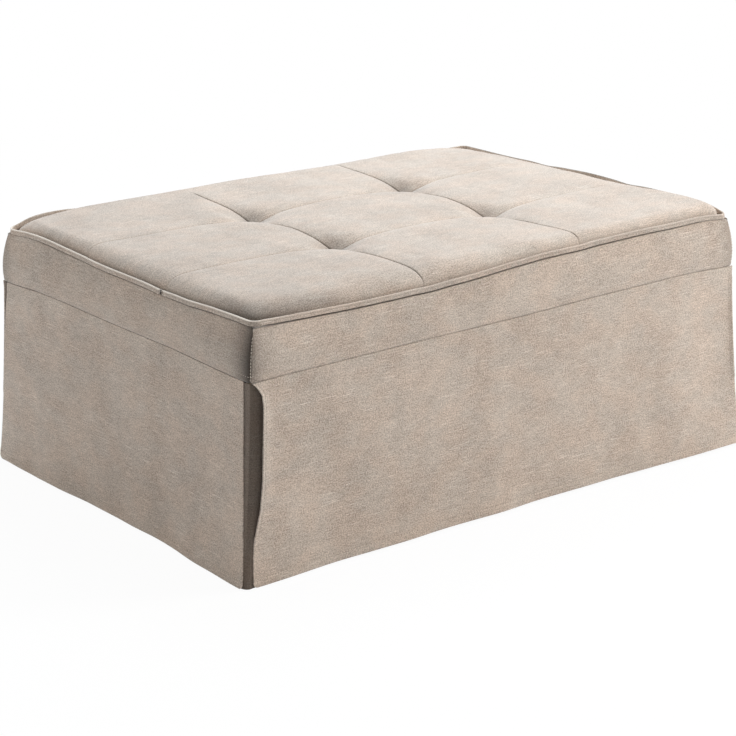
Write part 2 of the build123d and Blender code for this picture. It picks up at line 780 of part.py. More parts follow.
def quilted_pad(x_low, x_high, half_span, flat, crown, channels):
    """Add a pad whose channels swell from a flat side to a crown, with drawn-in sides."""
    direction = 1 if crown > flat else -1
    edge = crown - direction * pad_edge_drop
    step = (x_high - x_low) / channels
    side_y = half_span - pad_draw_in
    for number in range(channels):
        sections = []
        for share, rise in zip(channel_shares, channel_rises):
            top = edge + rise * (crown - edge)
            with BuildSketch(Plane.YZ.offset(x_low + step * (number + share))) as section:
                with BuildLine():
                    Line((-side_y, flat), (side_y, flat))
                    ThreePointArc((side_y, flat), (side_y + pad_draw_in * rise, (flat + edge) / 2),
                                  (side_y, edge))
                    ThreePointArc((side_y, edge), (0, top), (-side_y, edge))
                    ThreePointArc((-side_y, edge),
                                  (-side_y - pad_draw_in * rise, (flat + edge) / 2),
                                  (-side_y, flat))
                make_face()
            sections.append(section.sketch.face())
        loft(sections)


head_pad_channels = 8
foot_pad_channels = 8
with BuildPart() as head_mattress:
    quilted_pad(-inner_x + mattress_side_gap, hinge_rail_x - loose_gap,
                inner_y - mattress_side_gap,
                slat_top, base_top, head_pad_channels)
save(head_mattress, "head_mattress")

pad_x = rim_x - rim_thickness - loose_gap
pad_y = rim_y - rim_thickness - loose_gap
with BuildPart() as foot_mattress:
    quilted_pad(-pad_x, pad_x, pad_y, deck_bottom, lid_bottom, foot_pad_channels)
save(foot_mattress, "foot_mattress")
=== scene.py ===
import bpy
import json
import math
import numpy as np
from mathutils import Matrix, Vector


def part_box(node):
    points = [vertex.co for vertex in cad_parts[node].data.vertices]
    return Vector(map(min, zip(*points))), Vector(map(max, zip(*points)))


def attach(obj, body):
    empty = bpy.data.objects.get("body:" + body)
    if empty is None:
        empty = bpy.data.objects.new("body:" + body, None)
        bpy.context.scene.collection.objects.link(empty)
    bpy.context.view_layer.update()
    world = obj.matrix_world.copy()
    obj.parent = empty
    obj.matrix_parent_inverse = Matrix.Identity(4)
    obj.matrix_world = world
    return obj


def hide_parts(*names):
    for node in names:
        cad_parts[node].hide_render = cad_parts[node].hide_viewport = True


# A skirted, tufted ottoman whose lid flips over onto a pull-out frame to make a guest bed.
# All lengths are in metres, in the frame's own axes: -Y is the front, +X the hinge end.

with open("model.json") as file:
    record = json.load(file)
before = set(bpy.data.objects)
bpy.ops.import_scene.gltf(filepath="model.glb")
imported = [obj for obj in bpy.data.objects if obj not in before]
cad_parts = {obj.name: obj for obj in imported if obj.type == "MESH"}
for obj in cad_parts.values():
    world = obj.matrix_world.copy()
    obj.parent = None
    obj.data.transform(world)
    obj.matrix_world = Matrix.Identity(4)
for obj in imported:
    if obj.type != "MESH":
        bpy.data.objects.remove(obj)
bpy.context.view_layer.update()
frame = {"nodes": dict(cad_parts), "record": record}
slots = {row["node"]: row["material_slot"] for row in frame["record"]["subparts"]}
MM = 0.001

# Camera of the photograph: its place, its directions in degrees and its lens in millimetres
CAMERA_PLACE = (-2.524, -3.1326, 1.4566)
CAMERA_AZIMUTH = 38.775
CAMERA_DOWN = 17.993
CAMERA_LENS = 121.38


def add_object(name, data):
    thing = bpy.data.objects.new(name, data)
    bpy.context.scene.collection.objects.link(thing)
    return thing


def aim(thing, place, way):
    """Put the camera or a light in its place, facing a way."""
    thing.location = place
    thing.rotation_mode = "QUATERNION"
    thing.rotation_quaternion = Vector(way).to_track_quat("-Z", "Y")


def make_camera():
    data = bpy.data.cameras.new("camera")
    data.lens = CAMERA_LENS
    data.clip_end = 50.0
    camera = add_object("camera", data)
    azimuth, down = math.radians(CAMERA_AZIMUTH), math.radians(CAMERA_DOWN)
    aim(camera, CAMERA_PLACE, (math.sin(azimuth) * math.cos(down),
                               math.cos(azimuth) * math.cos(down), -math.sin(down)))
    bpy.context.scene.camera = camera


make_camera()
bpy.context.scene.view_settings.view_transform = "Standard"


# Sizes read from the frame
band_low, band_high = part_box("boxing_band")
cushion_low, cushion_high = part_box("top_cushion")
piping_low, piping_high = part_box("top_piping")
front_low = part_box("skirt_front")[0]
foot_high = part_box("skirt_foot")[1]
rim_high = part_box("lid_rim")[1]
HALF_LENGTH = round(band_high[0], 3)
HALF_WIDTH = round(band_high[1], 3)
BAND_BOTTOM = band_low[2]
BAND_TOP = band_high[2]
DECK_TOP = cushion_low[2]
PIPING_HEIGHT = (piping_low[2] + piping_high[2]) / 2
PIPING_RADIUS = (piping_high[2] - piping_low[2]) / 2
CUSHION_X, CUSHION_Y, CROWN = cushion_high
PIPING_X = piping_high[0] - PIPING_RADIUS
PIPING_Y = piping_high[1] - PIPING_RADIUS
TUFT_X = CUSHION_X / 3
TUFT_Y = CUSHION_Y / 3
# Which end and side each corner is at
CORNERS = ((-1, -1), (-1, 1), (1, -1), (1, 1))


# Helpers for shapes
def smooth_noise(rng, scale, terms=10):
    """A smooth random function of two lengths, with waves about as long as the scale."""
    angles = rng.uniform(0, 2 * math.pi, terms)
    phases = rng.uniform(0, 2 * math.pi, terms)
    speeds = 2 * math.pi / (scale * rng.uniform(0.7, 1.7, terms))
    weights = rng.uniform(0.5, 1.0, terms)
    weights /= weights.sum()

    def value(a, b):
        total = np.zeros(np.broadcast(a, b).shape)
        for angle, phase, speed, weight in zip(angles, phases, speeds, weights):
            along = np.asarray(a) * math.cos(angle) + np.asarray(b) * math.sin(angle)
            total += weight * np.sin(along * speed + phase)
        return total * 2

    return value


def step_up(value, low, high):
    """0 below low, 1 above high and smooth in between."""
    share = np.clip((np.asarray(value) - low) / (high - low), 0, 1)
    return share * share * (3 - 2 * share)


def fade(gap, width, power=2):
    """1 where there is no gap, falling toward 0 over the width."""
    return np.exp(-(gap / width) ** power)


def gathered(stops, count, pull):
    """Places from stop to stop, closer together at every stop where pull nears 1."""
    share = np.linspace(0, 1, count)
    share = share - pull * np.sin(2 * math.pi * share) / (2 * math.pi)
    runs = [low + (high - low) * share[:-1] for low, high in zip(stops, stops[1:])]
    return np.concatenate(runs + [stops[-1:]])


def lengths_along(points):
    """The length walked to each of a line of points."""
    return np.append(0, np.cumsum(np.linalg.norm(np.diff(points, axis=0), axis=1)))


def mesh_piece(name, verts, faces, body, uvs=None):
    """Make one smooth object from points and faces, and let it ride on a body."""
    mesh = bpy.data.meshes.new(name)
    mesh.from_pydata([tuple(v) for v in np.asarray(verts, dtype=float)], [], faces)
    if uvs is not None:
        layer = mesh.uv_layers.new(name="cloth")
        loops = np.empty(len(mesh.loops), dtype=np.int64)
        mesh.loops.foreach_get("vertex_index", loops)
        layer.data.foreach_set("uv", np.asarray(uvs, dtype=float)[loops].ravel())
    mesh.polygons.foreach_set("use_smooth", [True] * len(mesh.polygons))
    mesh.update()
    piece = add_object(name, mesh)
    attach(piece, body)
    return piece


def grid_faces(rows, columns, start=0, wrap=False, flip=False):
    """Faces between the points of a grid, which may close on itself along its columns."""
    faces = []
    for row in range(rows - 1):
        here = start + row * columns
        above = here + columns
        for column in range(columns if wrap else columns - 1):
            after = (column + 1) % columns
            quad = here + column, here + after, above + after, above + column
            faces.append(quad[::-1] if flip else quad)
    return faces


def grid_rim(rows, columns):
    """The points round the edge of a grid, in order."""
    return ([*range(columns)] + [row * columns + columns - 1 for row in range(1, rows)]
            + [(rows - 1) * columns + column for column in range(columns - 2, -1, -1)]
            + [row * columns for row in range(rows - 2, 0, -1)])


def wall_faces(upper, lower, flip=False):
    """Faces of the wall between two closed rings of points."""
    pairs = [(i, (i + 1) % len(upper)) for i in range(len(upper))]
    faces = [(lower[i], lower[j], upper[j], upper[i]) for i, j in pairs]
    return [quad[::-1] for quad in faces] if flip else faces


# Materials
class Nodes:
    """A short way to write a material's nodes and the links between them."""

    def __init__(self, tree):
        self.tree = tree
        self.shader = tree.nodes.get("Principled BSDF")

    def put(self, node, inputs):
        """Set a node's inputs to values or solid colours, or link them to other nodes."""
        for key, value in inputs.items():
            socket = node.inputs[key]
            if isinstance(value, bpy.types.NodeSocket):
                self.tree.links.new(value, socket)
            else:
                socket.default_value = (*value, 1) if socket.type == "RGBA" else value

    def add(self, kind, inputs=None, **settings):
        node = self.tree.nodes.new(kind)
        for key, value in settings.items():
            setattr(node, key, value)
        self.put(node, inputs or {})
        return node

    def math(self, operation, a, b, clamp=False):
        return self.add("ShaderNodeMath", {0: a, 1: b}, operation=operation,
                        use_clamp=clamp).outputs[0]

    def times(self, a, b, clamp=False):
        return self.math("MULTIPLY", a, b, clamp)

    def total(self, first, *others):
        for value in others:
            first = self.math("ADD", first, value)
        return first

    def mix(self, factor, a, b, blend="MIX"):
        return self.add("ShaderNodeMix", {0: factor, 6: a, 7: b}, data_type="RGBA",
                        blend_type=blend).outputs[2]

    def place(self):
        return self.add("ShaderNodeTexCoord").outputs["Object"]

    def stretched(self, source, scale, offset=(0, 0, 0)):
        inputs = {"Vector": source, "Scale": scale, "Location": offset}
        return self.add("ShaderNodeMapping", inputs).outputs[0]

    def noise(self, vector, scale, detail=2.0, roughness=0.5):
        inputs = {"Vector": vector, "Scale": scale, "Detail": detail, "Roughness": roughness}
        return self.add("ShaderNodeTexNoise", inputs).outputs["Fac"]

    def spread(self, value, low, high, out_low=0.0, out_high=1.0):
        """Stretch a value's range from low and high to out_low and out_high, smoothly."""
        inputs = {"Value": value, "From Min": low, "From Max": high,
                  "To Min": out_low, "To Max": out_high}
        return self.add("ShaderNodeMapRange", inputs, interpolation_type="SMOOTHSTEP").outputs[0]

    def bump(self, height, strength, distance, below=None):
        inputs = {"Height": height, "Strength": strength, "Distance": distance}
        if below is not None:
            inputs["Normal"] = below
        return self.add("ShaderNodeBump", inputs).outputs[0]

    def seen(self):
        """1 for what the camera sees straight or in a reflection, 0 for other light."""
        rays = self.add("ShaderNodeLightPath")
        return self.math("MAXIMUM", rays.outputs["Is Camera Ray"], rays.outputs["Is Glossy Ray"])

    def link_surface(self, colour, normal, roughness):
        self.put(self.shader, {"Base Color": colour, "Normal": normal, "Roughness": roughness})

    def link_mixed(self, output, factor, a, b):
        mixed = self.add("ShaderNodeMixShader", {0: factor, 1: a.outputs[0], 2: b.outputs[0]})
        self.tree.links.new(mixed.outputs[0], self.tree.nodes[output].inputs["Surface"])


def new_material(name):
    material = bpy.data.materials.new(name)
    material.use_nodes = True
    return material, Nodes(material.node_tree)


def toned(colour, factor, lift=0.0):
    """A colour made darker or lighter."""
    return [min(1.0, c * factor + lift) for c in colour]


def linen_material(name, light, dark, slub, sheen=0.45, shade=0.75):
    """Chenille linen: crossed threads, light slubs along the weft, mottling and a soft nap."""
    material, n = new_material(name)
    cloth = n.add("ShaderNodeUVMap", uv_map="cloth").outputs[0]

    def woven(along, across, offset, detail=2.0, roughness=0.5):
        """Noise that follows the cloth, by its waves in a metre along and across the weft."""
        scaled = n.stretched(cloth, (along, across, along), (*offset, 0))
        return n.noise(scaled, 1.0, detail, roughness)

    grain = woven(430.0, 460.0, (0, 0), 2.5, 0.8)
    weft = woven(60.0, 600.0, (5.3, 2.9), 2.0, 0.6)
    warp = woven(600.0, 90.0, (3.1, 1.7), 1.0)
    slubs = woven(25.0, 560.0, (0.7, 4.2), 1.0)
    patches = woven(9.0, 14.0, (4.4, 7.7))
    nap = woven(13.0, 6.0, (1.9, 6.1))
    blotch = woven(52.0, 78.0, (2.2, 8.8), 3.0, 0.65)
    broad = woven(11.0, 15.0, (9.1, 3.3))
    slub_mask = n.times(n.spread(slubs, 0.60, 0.72),
                        n.times(n.spread(patches, 0.38, 0.62, 0.4, 1.0),
                                n.spread(grain, 0.30, 0.62, 0.25, 1.0)))
    tone = n.total(n.spread(grain, 0.37, 0.63, 0.0, 0.55), n.spread(weft, 0.3, 0.7, 0.0, 0.14),
                   n.spread(nap, 0.34, 0.66, -0.045, 0.045), n.spread(warp, 0.3, 0.7, 0.0, 0.12),
                   n.spread(blotch, 0.32, 0.68, 0.0, 0.11), n.spread(broad, 0.3, 0.7, 0.0, 0.09))
    colour = n.mix(tone, dark, light)
    colour = n.mix(n.times(slub_mask, 0.55), colour, slub)
    rosy = n.spread(woven(18.0, 24.0, (6.6, 1.2), 1.0), 0.35, 0.65)
    tint = n.mix(rosy, (1.02, 0.995, 0.98), (0.985, 1.0, 1.01))
    colour = n.mix(1.0, colour, tint, "MULTIPLY")
    # Painted shading: above 0 it is painted shade in seams, folds and other shaded places; below
    # 0 it is a painted highlight toward the slub colour.
    painted_shading = n.add("ShaderNodeAttribute", attribute_name="painted_shading").outputs["Fac"]
    colour = n.mix(n.times(painted_shading, shade, True), colour, toned(dark, 0.16))
    colour = n.mix(n.times(painted_shading, -0.8, True), colour, slub)
    height = n.total(n.times(weft, 0.5), n.times(slub_mask, 0.4), n.times(grain, 0.7))
    n.link_surface(colour, n.bump(blotch, 0.12, 0.002, n.bump(height, 0.5, 0.0006)),
                   n.spread(blotch, 0.3, 0.7, 0.82, 0.95))
    n.put(n.shader, {"Sheen Weight": sheen, "Sheen Roughness": 0.4,
                     "Sheen Tint": (0.96, 0.97, 1.0), "Specular IOR Level": 0.15})
    return material


def wood_material(name, light, dark, along="X", gloss=0.5):
    """Sanded wood: long grain, fine pores and faint bands."""
    material, n = new_material(name)
    place = n.place()
    scale = {"X": (3.0, 46.0, 46.0), "Y": (46.0, 3.0, 46.0)}[along]
    grain = n.noise(n.stretched(place, scale), 1.0, 5.0, 0.62)
    pores = n.noise(n.stretched(place, tuple(s * 9 for s in scale)), 1.0, 2.0, 0.6)
    broad = n.noise(place, 3.0, 1.0)
    tone = n.total(n.spread(grain, 0.3, 0.7, 0.0, 0.7), n.spread(broad, 0.3, 0.7, 0.0, 0.3))
    pore_mask = n.spread(pores, 0.62, 0.78, 0.0, 0.35)
    colour = n.mix(pore_mask, n.mix(tone, dark, light), toned(dark, 0.55))
    n.link_surface(colour, n.bump(pores, 0.25, 0.0003),
                   n.spread(grain, 0.3, 0.7, gloss, gloss + 0.15))
    return material


def metal_material(name, colour, metallic, rough, speckle, drawn=False):
    """Painted or plated steel: fine grain in its gloss, with slightly worn tone."""
    material, n = new_material(name)
    place = n.place()
    scale = (30.0 if drawn else 900.0, 900.0, 900.0)
    grain = n.noise(n.stretched(place, scale), 1.0, 2.0, 0.6)
    wear = n.noise(place, 22.0, 3.0, 0.6)
    worn = n.spread(wear, 0.35, 0.7, 0.0, 0.5)
    n.link_surface(n.mix(worn, colour, toned(colour, 1.25, 0.01)), n.bump(grain, speckle, 0.0002),
                   n.spread(wear, 0.3, 0.7, rough, rough + 0.18))
    n.put(n.shader, {"Metallic": metallic})
    return material


def moulded_material(name, colour, rough):
    """Moulded plastic or rubber with a fine spark-eroded grain."""
    material, n = new_material(name)
    place = n.place()
    grain = n.noise(place, 1400.0, 2.0, 0.5)
    dust = n.noise(place, 35.0, 3.0, 0.6)
    dusty = n.spread(dust, 0.4, 0.75, 0.0, 0.5)
    n.link_surface(n.mix(dusty, colour, toned(colour, 0.8, 0.05)), n.bump(grain, 0.2, 0.0002),
                   n.spread(dust, 0.3, 0.7, rough, rough + 0.15))
    return material


def webbing_material(name, colour):
    """Black woven tape: ribs across and short loops."""
    material, n = new_material(name)
    ribs = n.noise(n.stretched(n.place(), (1300.0, 1300.0, 500.0)), 1.0, 2.0, 0.6)
    n.link_surface(n.mix(n.spread(ribs, 0.35, 0.65), colour, toned(colour, 2.0)),
                   n.bump(ribs, 0.6, 0.0006), n.spread(ribs, 0.3, 0.7, 0.75, 0.9))
    return material


SLOT_MATERIALS = {
    "cover_fabric": linen_material(
        "cover_linen", (0.75, 0.64, 0.545), (0.235, 0.19, 0.155), (0.90, 0.82, 0.73)),
    # The pleats' linen is a darker copy of the cover linen: painted shade for the cloth behind
    # the skirts' open edges.
    "pleat_fabric": linen_material(
        "pleat_linen_painted_shade", (0.30, 0.245, 0.20), (0.13, 0.10, 0.08), (0.36, 0.30, 0.25), sheen=0.3),
    "ticking": linen_material(
        "ticking_cotton", (0.48, 0.46, 0.42), (0.37, 0.35, 0.315),
        (0.58, 0.56, 0.52), sheen=0.15, shade=0.6),
    "plywood": wood_material("birch_plywood", (0.62, 0.46, 0.29), (0.46, 0.32, 0.18)),
    "slat_wood": wood_material("beech_slats", (0.66, 0.49, 0.31), (0.53, 0.36, 0.21), "Y", 0.4),
    "painted_steel": metal_material("black_powder_coat", (0.022, 0.022, 0.025), 0.0, 0.38, 0.35),
    "zinc_steel": metal_material("zinc_plate", (0.56, 0.57, 0.59), 0.95, 0.28, 0.15, drawn=True),
    "plastic": moulded_material("black_plastic", (0.018, 0.018, 0.02), 0.42),
    "rubber": moulded_material("black_rubber", (0.025, 0.025, 0.027), 0.7),
    "webbing": webbing_material("black_webbing", (0.02, 0.02, 0.022)),
}
thread = moulded_material("sewing_thread", (0.74, 0.65, 0.55), 0.7)
for node_name, node in frame["nodes"].items():
    node.data.materials.clear()
    node.data.materials.append(SLOT_MATERIALS[slots[node_name]])


def cloth_piece(name, node, body, slot, verts, faces, uvs, painted_shading):
    """A piece of cloth in place of a node, with the painted shade of each of its points (below 0,
    a painted highlight).
    """
    piece = mesh_piece(name, verts, faces, body, uvs)
    layer = piece.data.attributes.new("painted_shading", "FLOAT", "POINT")
    layer.data.foreach_set("value", np.asarray(painted_shading, dtype=float).ravel())
    piece.data.materials.append(SLOT_MATERIALS[slot])
    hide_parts(node)
    return piece


# How far the lid's edge rises or dips along each side, as the cloth was pulled over it:
# the place along the side and the rise, in millimetres
FRONT_RISE = ((-508, 1.6), (-486, 0.9), (-461, -0.9), (-436, -2.4), (-400, -4), (-353, -4.7),
              (-320, -5.2), (-284, -5.9), (-237, -5.8), (-190, -4.4), (-142, -4.2), (-93, -2.7),
              (-30, 0), (32, 2.3), (83, 5.8), (193, 7.2), (439, 7.3), (475, 6), (508, 3.5))
HEAD_RISE = ((-349, 1.8), (-300, 2), (-247, 1.1), (-216, -0.6), (-185, -2.2), (-154, -2),
             (-70, -1.2), (11, 0), (80, 1), (115, 3.8), (186, 5.5), (260, 8.1), (297, 7.5),
             (349, 3.7))
BACK_RISE = ((-508, 5), (-495, 10), (-480, 14), (-460, 17.5), (-440, 18.8), (-420, 18.8),
             (-400, 18), (-380, 16.5), (-350, 12), (-300, 5), (-250, 0), (508, 0))
FOOT_RISE = ((-349, 4.5), (-330, 9), (-300, 12.5), (-265, 13), (-230, 13), (-180, 12.8),
             (-100, 12.2), (0, 10.5), (50, 8.6), (100, 7), (150, 5), (190, 3.4), (270, 1.5),
             (349, 0))
# The cushion's own rise beside its back and foot edges
BACK_CROWN = ((-508, -8), (-480, -7), (-454, -3), (-420, 3), (-390, 8), (-350, 11.5),
              (-287, 11), (-230, 9), (-112, 8), (9, 6), (135, 0), (508, 0))
FOOT_CROWN = ((-349, 3), (-300, 6), (-265, 9), (-209, 7), (-160, 0.5), (-71, -4), (1, -3.3),
              (75, -6.4), (150, -10), (230, -11), (310, -8), (349, -4))
# The seam under the band, which isn't quite level
FRONT_SEAM = ((-508, -2.2), (-486, -2), (-443, -0.8), (-353, -0.6), (-300, 0), (-160, 0.6),
              (0, 0.4), (60, 1.1), (142, 2.5), (200, 3.2), (308, 3.7), (366, 4.6), (424, 3.4),
              (483, 0.3), (508, 0))
HEAD_SEAM = ((-349, -2), (-306, -2), (-260, -0.7), (-213, 0.8), (-150, 3), (-50, 2.9), (20, 3.1),
             (90, 4), (150, 5.2), (240, 4.9), (277, 2.5), (316, 0.8), (349, 0))
LEVEL = ((-508, 0), (508, 0))
EDGE_REACH = 0.02
CROWN_REACH = 0.07


def edge_rise(x, y, reach=EDGE_REACH, back=BACK_RISE, foot=FOOT_RISE, front=FRONT_RISE,
              head=HEAD_RISE):
    """The rise of the nearest side of the lid, fading over the reach."""
    total, weights = 0, 0
    for place, gap, table in ((x, HALF_WIDTH + y, front), (x, HALF_WIDTH - y, back),
                              (y, HALF_LENGTH + x, head), (y, HALF_LENGTH - x, foot)):
        rows = np.array(table) * MM
        weight = fade(np.clip(gap, 0, None), reach)
        total = total + weight * np.interp(place, rows[:, 0], rows[:, 1])
        weights = weights + weight
    return total / np.maximum(weights, 1)


def seam_rise(x, y):
    """The rise of the seam between the band and the skirts."""
    return edge_rise(x, y, EDGE_REACH, LEVEL, LEVEL, FRONT_SEAM, HEAD_SEAM)


# Tufted top cushion
ROLL_WIDTH = 0.050
ROLL_POWER = 2.8
ROLL_BEND = 1.35
ROLL_DEPTH = 0.0245
SEAM_DEPTH = 0.0026
SEAM_WIDTH = 0.011
STITCH_WIDTH = 0.0013
STITCH_DEPTH = 0.0020
TUFT_DEPTH = 0.0165
TUFT_WIDTH = 0.023
TUFT_FLOOR = 0.0175
TUFT_BEND = 1.35
SLIT_HALF = 0.0065
SLIT_WAY = (0.78, -0.626)
CORNER_ROUND = 0.014
# The flat lies below the crown, no point passes the limit, and both meet in a soft bend.
FLAT_BELOW = 0.0006
CROWN_LIMIT = CROWN + 0.0003
LIMIT_BEND = 0.0014
# The corners that drop: which end and side, how far and over what reach
CORNER_DROPS = ((1, 1, 0.0115, 0.085), (-1, -1, 0.0040, 0.070), (1, -1, -0.0020, 0.050))
# Grid lines across each panel, how much they gather at the seams, and the cloth's unevenness
LINES_X, LINES_Y, GATHER = 90, 68, 0.86
SWELL, PUCKER = 0.0010, 0.0004


def rolled(gap):
    """0 on the flat of the cushion, 1 at its edge, along a full curve."""
    share = np.clip(1 - gap / ROLL_WIDTH, 0, 1)
    return 1 - (1 - share ** ROLL_POWER) ** (ROLL_BEND / ROLL_POWER)


def cushion_shade(x, y, roll_x, roll_y, edge):
    """Painted shade on the rolls, around the front head corner and over the head end of the top;
    below 0, a painted highlight on the rolls.
    """
    corner = np.hypot(CUSHION_X + x, CUSHION_Y + y)
    # Painted shade on the back roll; on the front roll, a darker painted patch and a painted
    # highlight at its foot toward the hinge.
    back = (0.42 - 0.30 * step_up(x, -0.15, 0.25)) * roll_y ** 1.8
    patch = 0.25 * fade(x + 0.38, 0.09)
    lift = 0.10 - 0.40 * step_up(x, -0.50, 0.15)
    front = (4 * patch * roll_y * (1 - roll_y) + lift * roll_y ** 2) * (1 - roll_x)
    # Painted shade at the head roll's edge with a painted highlight partway up, away from the
    # front corner; painted shade on the foot roll.
    head = 0.42 * roll_x ** 3.2 - 0.8 * roll_x * (1 - roll_x) * (1 - fade(corner, 0.13))
    foot = 0.12 * roll_x ** 1.8
    shade = np.where(y < 0, front, back) + np.where(x < 0, head, foot)
    # More painted shade round the front head corner, and an even painted shade over the head end
    # of the top.
    shade += 0.42 * fade(corner, 0.10) * edge ** 1.8 + 0.30 * fade(corner, 0.06) * edge
    return shade + (0.28 + 0.20 * edge) * fade(corner, 0.055) + 0.09 * (1 - step_up(x, -0.42, 0))


def cushion_height(x, y, rng):
    """The cushion's top, and its painted shade in the seams, tufts and rolls (below 0, a painted
    highlight).
    """
    roll_x, roll_y = rolled(CUSHION_X - np.abs(x)), rolled(CUSHION_Y - np.abs(y))
    edge = 1 - (1 - roll_x) * (1 - roll_y)
    near_x, near_y = np.abs(np.abs(x) - TUFT_X), np.abs(np.abs(y) - TUFT_Y)
    side_x, side_y = x - np.sign(x) * TUFT_X, y - np.sign(y) * TUFT_Y
    # Each tuft is a short slit across the view from the corner, with a slope beyond it.
    along = np.clip(np.abs(side_x * SLIT_WAY[0] + side_y * SLIT_WAY[1]) - SLIT_HALF, 0, None)
    reach = np.hypot(along, side_x * SLIT_WAY[1] - side_y * SLIT_WAY[0])
    # The seams are deepest near the tufts and end flush at the back and at the hinge end.
    flush = 1 - 0.85 * np.maximum(step_up(y, 0.265, 0.32), step_up(x, 0.40, 0.46))
    seam = SEAM_DEPTH * (0.35 + 2.2 * fade(reach, 0.075, 1.6)) * (1 - edge) * flush
    drop = seam * np.maximum(fade(near_x, SEAM_WIDTH, 1.2), 0.85 * fade(near_y, SEAM_WIDTH, 1.2))
    drop += TUFT_DEPTH * fade(reach, TUFT_WIDTH, 1.15)
    drop = TUFT_FLOOR * (1 - np.exp(-drop / TUFT_FLOOR * TUFT_BEND)) / (1 - math.exp(-TUFT_BEND))
    stitch_y = fade(near_y, STITCH_WIDTH) * (0.75 - 0.25 * step_up(x, -0.42, -0.30))
    stitch_y *= 0.5 + 0.5 * fade(side_x, 0.10)
    stitch = np.maximum(fade(near_x, STITCH_WIDTH), stitch_y) * (1 - 0.6 * edge) * flush
    height = CROWN - FLAT_BELOW - drop - STITCH_DEPTH * stitch - ROLL_DEPTH * edge
    for end, side, fall, span in CORNER_DROPS:
        height -= fall * fade(np.hypot(CUSHION_X - end * x, CUSHION_Y - side * y), span)
    height += edge_rise(x, y, CROWN_REACH, BACK_CROWN, FOOT_CROWN)
    slow, quick = smooth_noise(rng, 0.16), smooth_noise(rng, 0.05)
    calm = (1 - edge) * (1 - fade(np.minimum(near_x, near_y), 0.02))
    height += (SWELL * slow(x, y) + PUCKER * quick(x, y)) * calm
    # Nothing rises past the crown, which has to clear the slats when the lid is turned over.
    below = CROWN_LIMIT - height
    height = CROWN_LIMIT - 0.5 * (below + np.sqrt(below ** 2 + LIMIT_BEND ** 2))
    # Painted shade in the stitch lines, in each tuft's slit and on the slope beyond it, plus the
    # rolls' painted shade and highlight.
    beyond = np.hypot(side_x - 0.006, side_y - 0.009)
    painted_shading = (0.66 * stitch ** 1.4 + 0.48 * fade(beyond, 0.025) + 0.9 * fade(reach, 0.006)
             + cushion_shade(x, y, roll_x, roll_y, edge))
    return height, np.clip(painted_shading, -0.4, 1)


def make_cushion():
    gx, gy = np.meshgrid(gathered((-CUSHION_X, -TUFT_X, TUFT_X, CUSHION_X), LINES_X, GATHER),
                         gathered((-CUSHION_Y, -TUFT_Y, TUFT_Y, CUSHION_Y), LINES_Y, GATHER))
    height, painted_shading = cushion_height(gx, gy, np.random.default_rng(11))
    # The grid's square corners are drawn in along a rounded outline.
    flat_x, flat_y = CUSHION_X - CORNER_ROUND, CUSHION_Y - CORNER_ROUND
    over_x = np.clip((np.abs(gx) - flat_x) / CORNER_ROUND, 0, 1)
    over_y = np.clip((np.abs(gy) - flat_y) / CORNER_ROUND, 0, 1)
    drawn = CORNER_ROUND * (1 - over_x * over_y * (1 - 1 / math.sqrt(2)))
    px = np.sign(gx) * (np.minimum(np.abs(gx), flat_x) + over_x * drawn)
    py = np.sign(gy) * (np.minimum(np.abs(gy), flat_y) + over_y * drawn)
    rows, columns = gx.shape
    verts = np.stack([px, py, height], axis=-1).reshape(-1, 3)
    # The cloth's own coordinates follow its length over the rolls and into the tufts.
    over_rows = np.hypot(np.diff(px, axis=1), np.diff(height, axis=1))
    over_columns = np.hypot(np.diff(py, axis=0), np.diff(height, axis=0))
    us = np.pad(np.cumsum(over_rows, axis=1), ((0, 0), (1, 0)))
    vs = np.pad(np.cumsum(over_columns, axis=0), ((1, 0), (0, 0)))
    uvs = np.stack([us - us[:, [columns // 2]], vs - vs[rows // 2]], axis=-1).reshape(-1, 2)
    ring = grid_rim(rows, columns)
    start, end = len(verts), len(verts) + len(ring)
    faces = grid_faces(rows, columns) + wall_faces(ring, range(start, end))
    faces.append(tuple(range(end - 1, start - 1, -1)))
    piece = cloth_piece("tufted_cushion", "top_cushion", "lid", "cover_fabric",
                        np.vstack([verts, verts[ring] * (1, 1, 0) + (0, 0, DECK_TOP)]), faces,
                        np.vstack([uvs, uvs[ring] + (0, 0.03)]),
                        np.concatenate([painted_shading.ravel(), np.zeros(len(ring))]))


make_cushion()


# Outline of the band and the piping: a rectangle with rounded corners, walked by its length
CORNER_STEPS = 10


def rounded_outline(half_x, half_y, radius, spacing):
    """Points, outward directions and lengths walked, anticlockwise from the hinge end's front."""
    corners = []
    for sx, sy, begin in ((1, -1, -90), (1, 1, 0), (-1, 1, 90), (-1, -1, 180)):
        centre = np.array([sx * (half_x - radius), sy * (half_y - radius)])
        for k in range(CORNER_STEPS + 1):
            angle = math.radians(begin + 90 * k / CORNER_STEPS)
            normal = np.array([math.cos(angle), math.sin(angle)])
            corners.append((centre + radius * normal, normal))
    points, normals = [], []
    for i, (point, normal) in enumerate(corners):
        after = corners[(i + 1) % len(corners)][0]
        straight = i % (CORNER_STEPS + 1) == CORNER_STEPS
        steps = max(2, int(np.linalg.norm(after - point) / spacing)) if straight else 1
        for k in range(steps):
            points.append(point + (after - point) * k / steps)
            normals.append(normal)
    points = np.array(points)
    return points, np.array(normals), lengths_along(points)


BAND_RADIUS = 0.009
BAND_INSET = HALF_LENGTH - (piping_high[0] - 0.0004)
BAND_BULGE = 0.0042
HEAD_BULGE = 0.0024
BAND_SHOULDER = BAND_TOP - 0.0029
BAND_HEIGHT = BAND_SHOULDER - BAND_BOTTOM
BAND_STITCH = 0.009
UNDER_TURN = 0.004
OUTSIDE_ROWS = 34
SEAM_END = 0.028
LINE_WIDTH = 0.0012
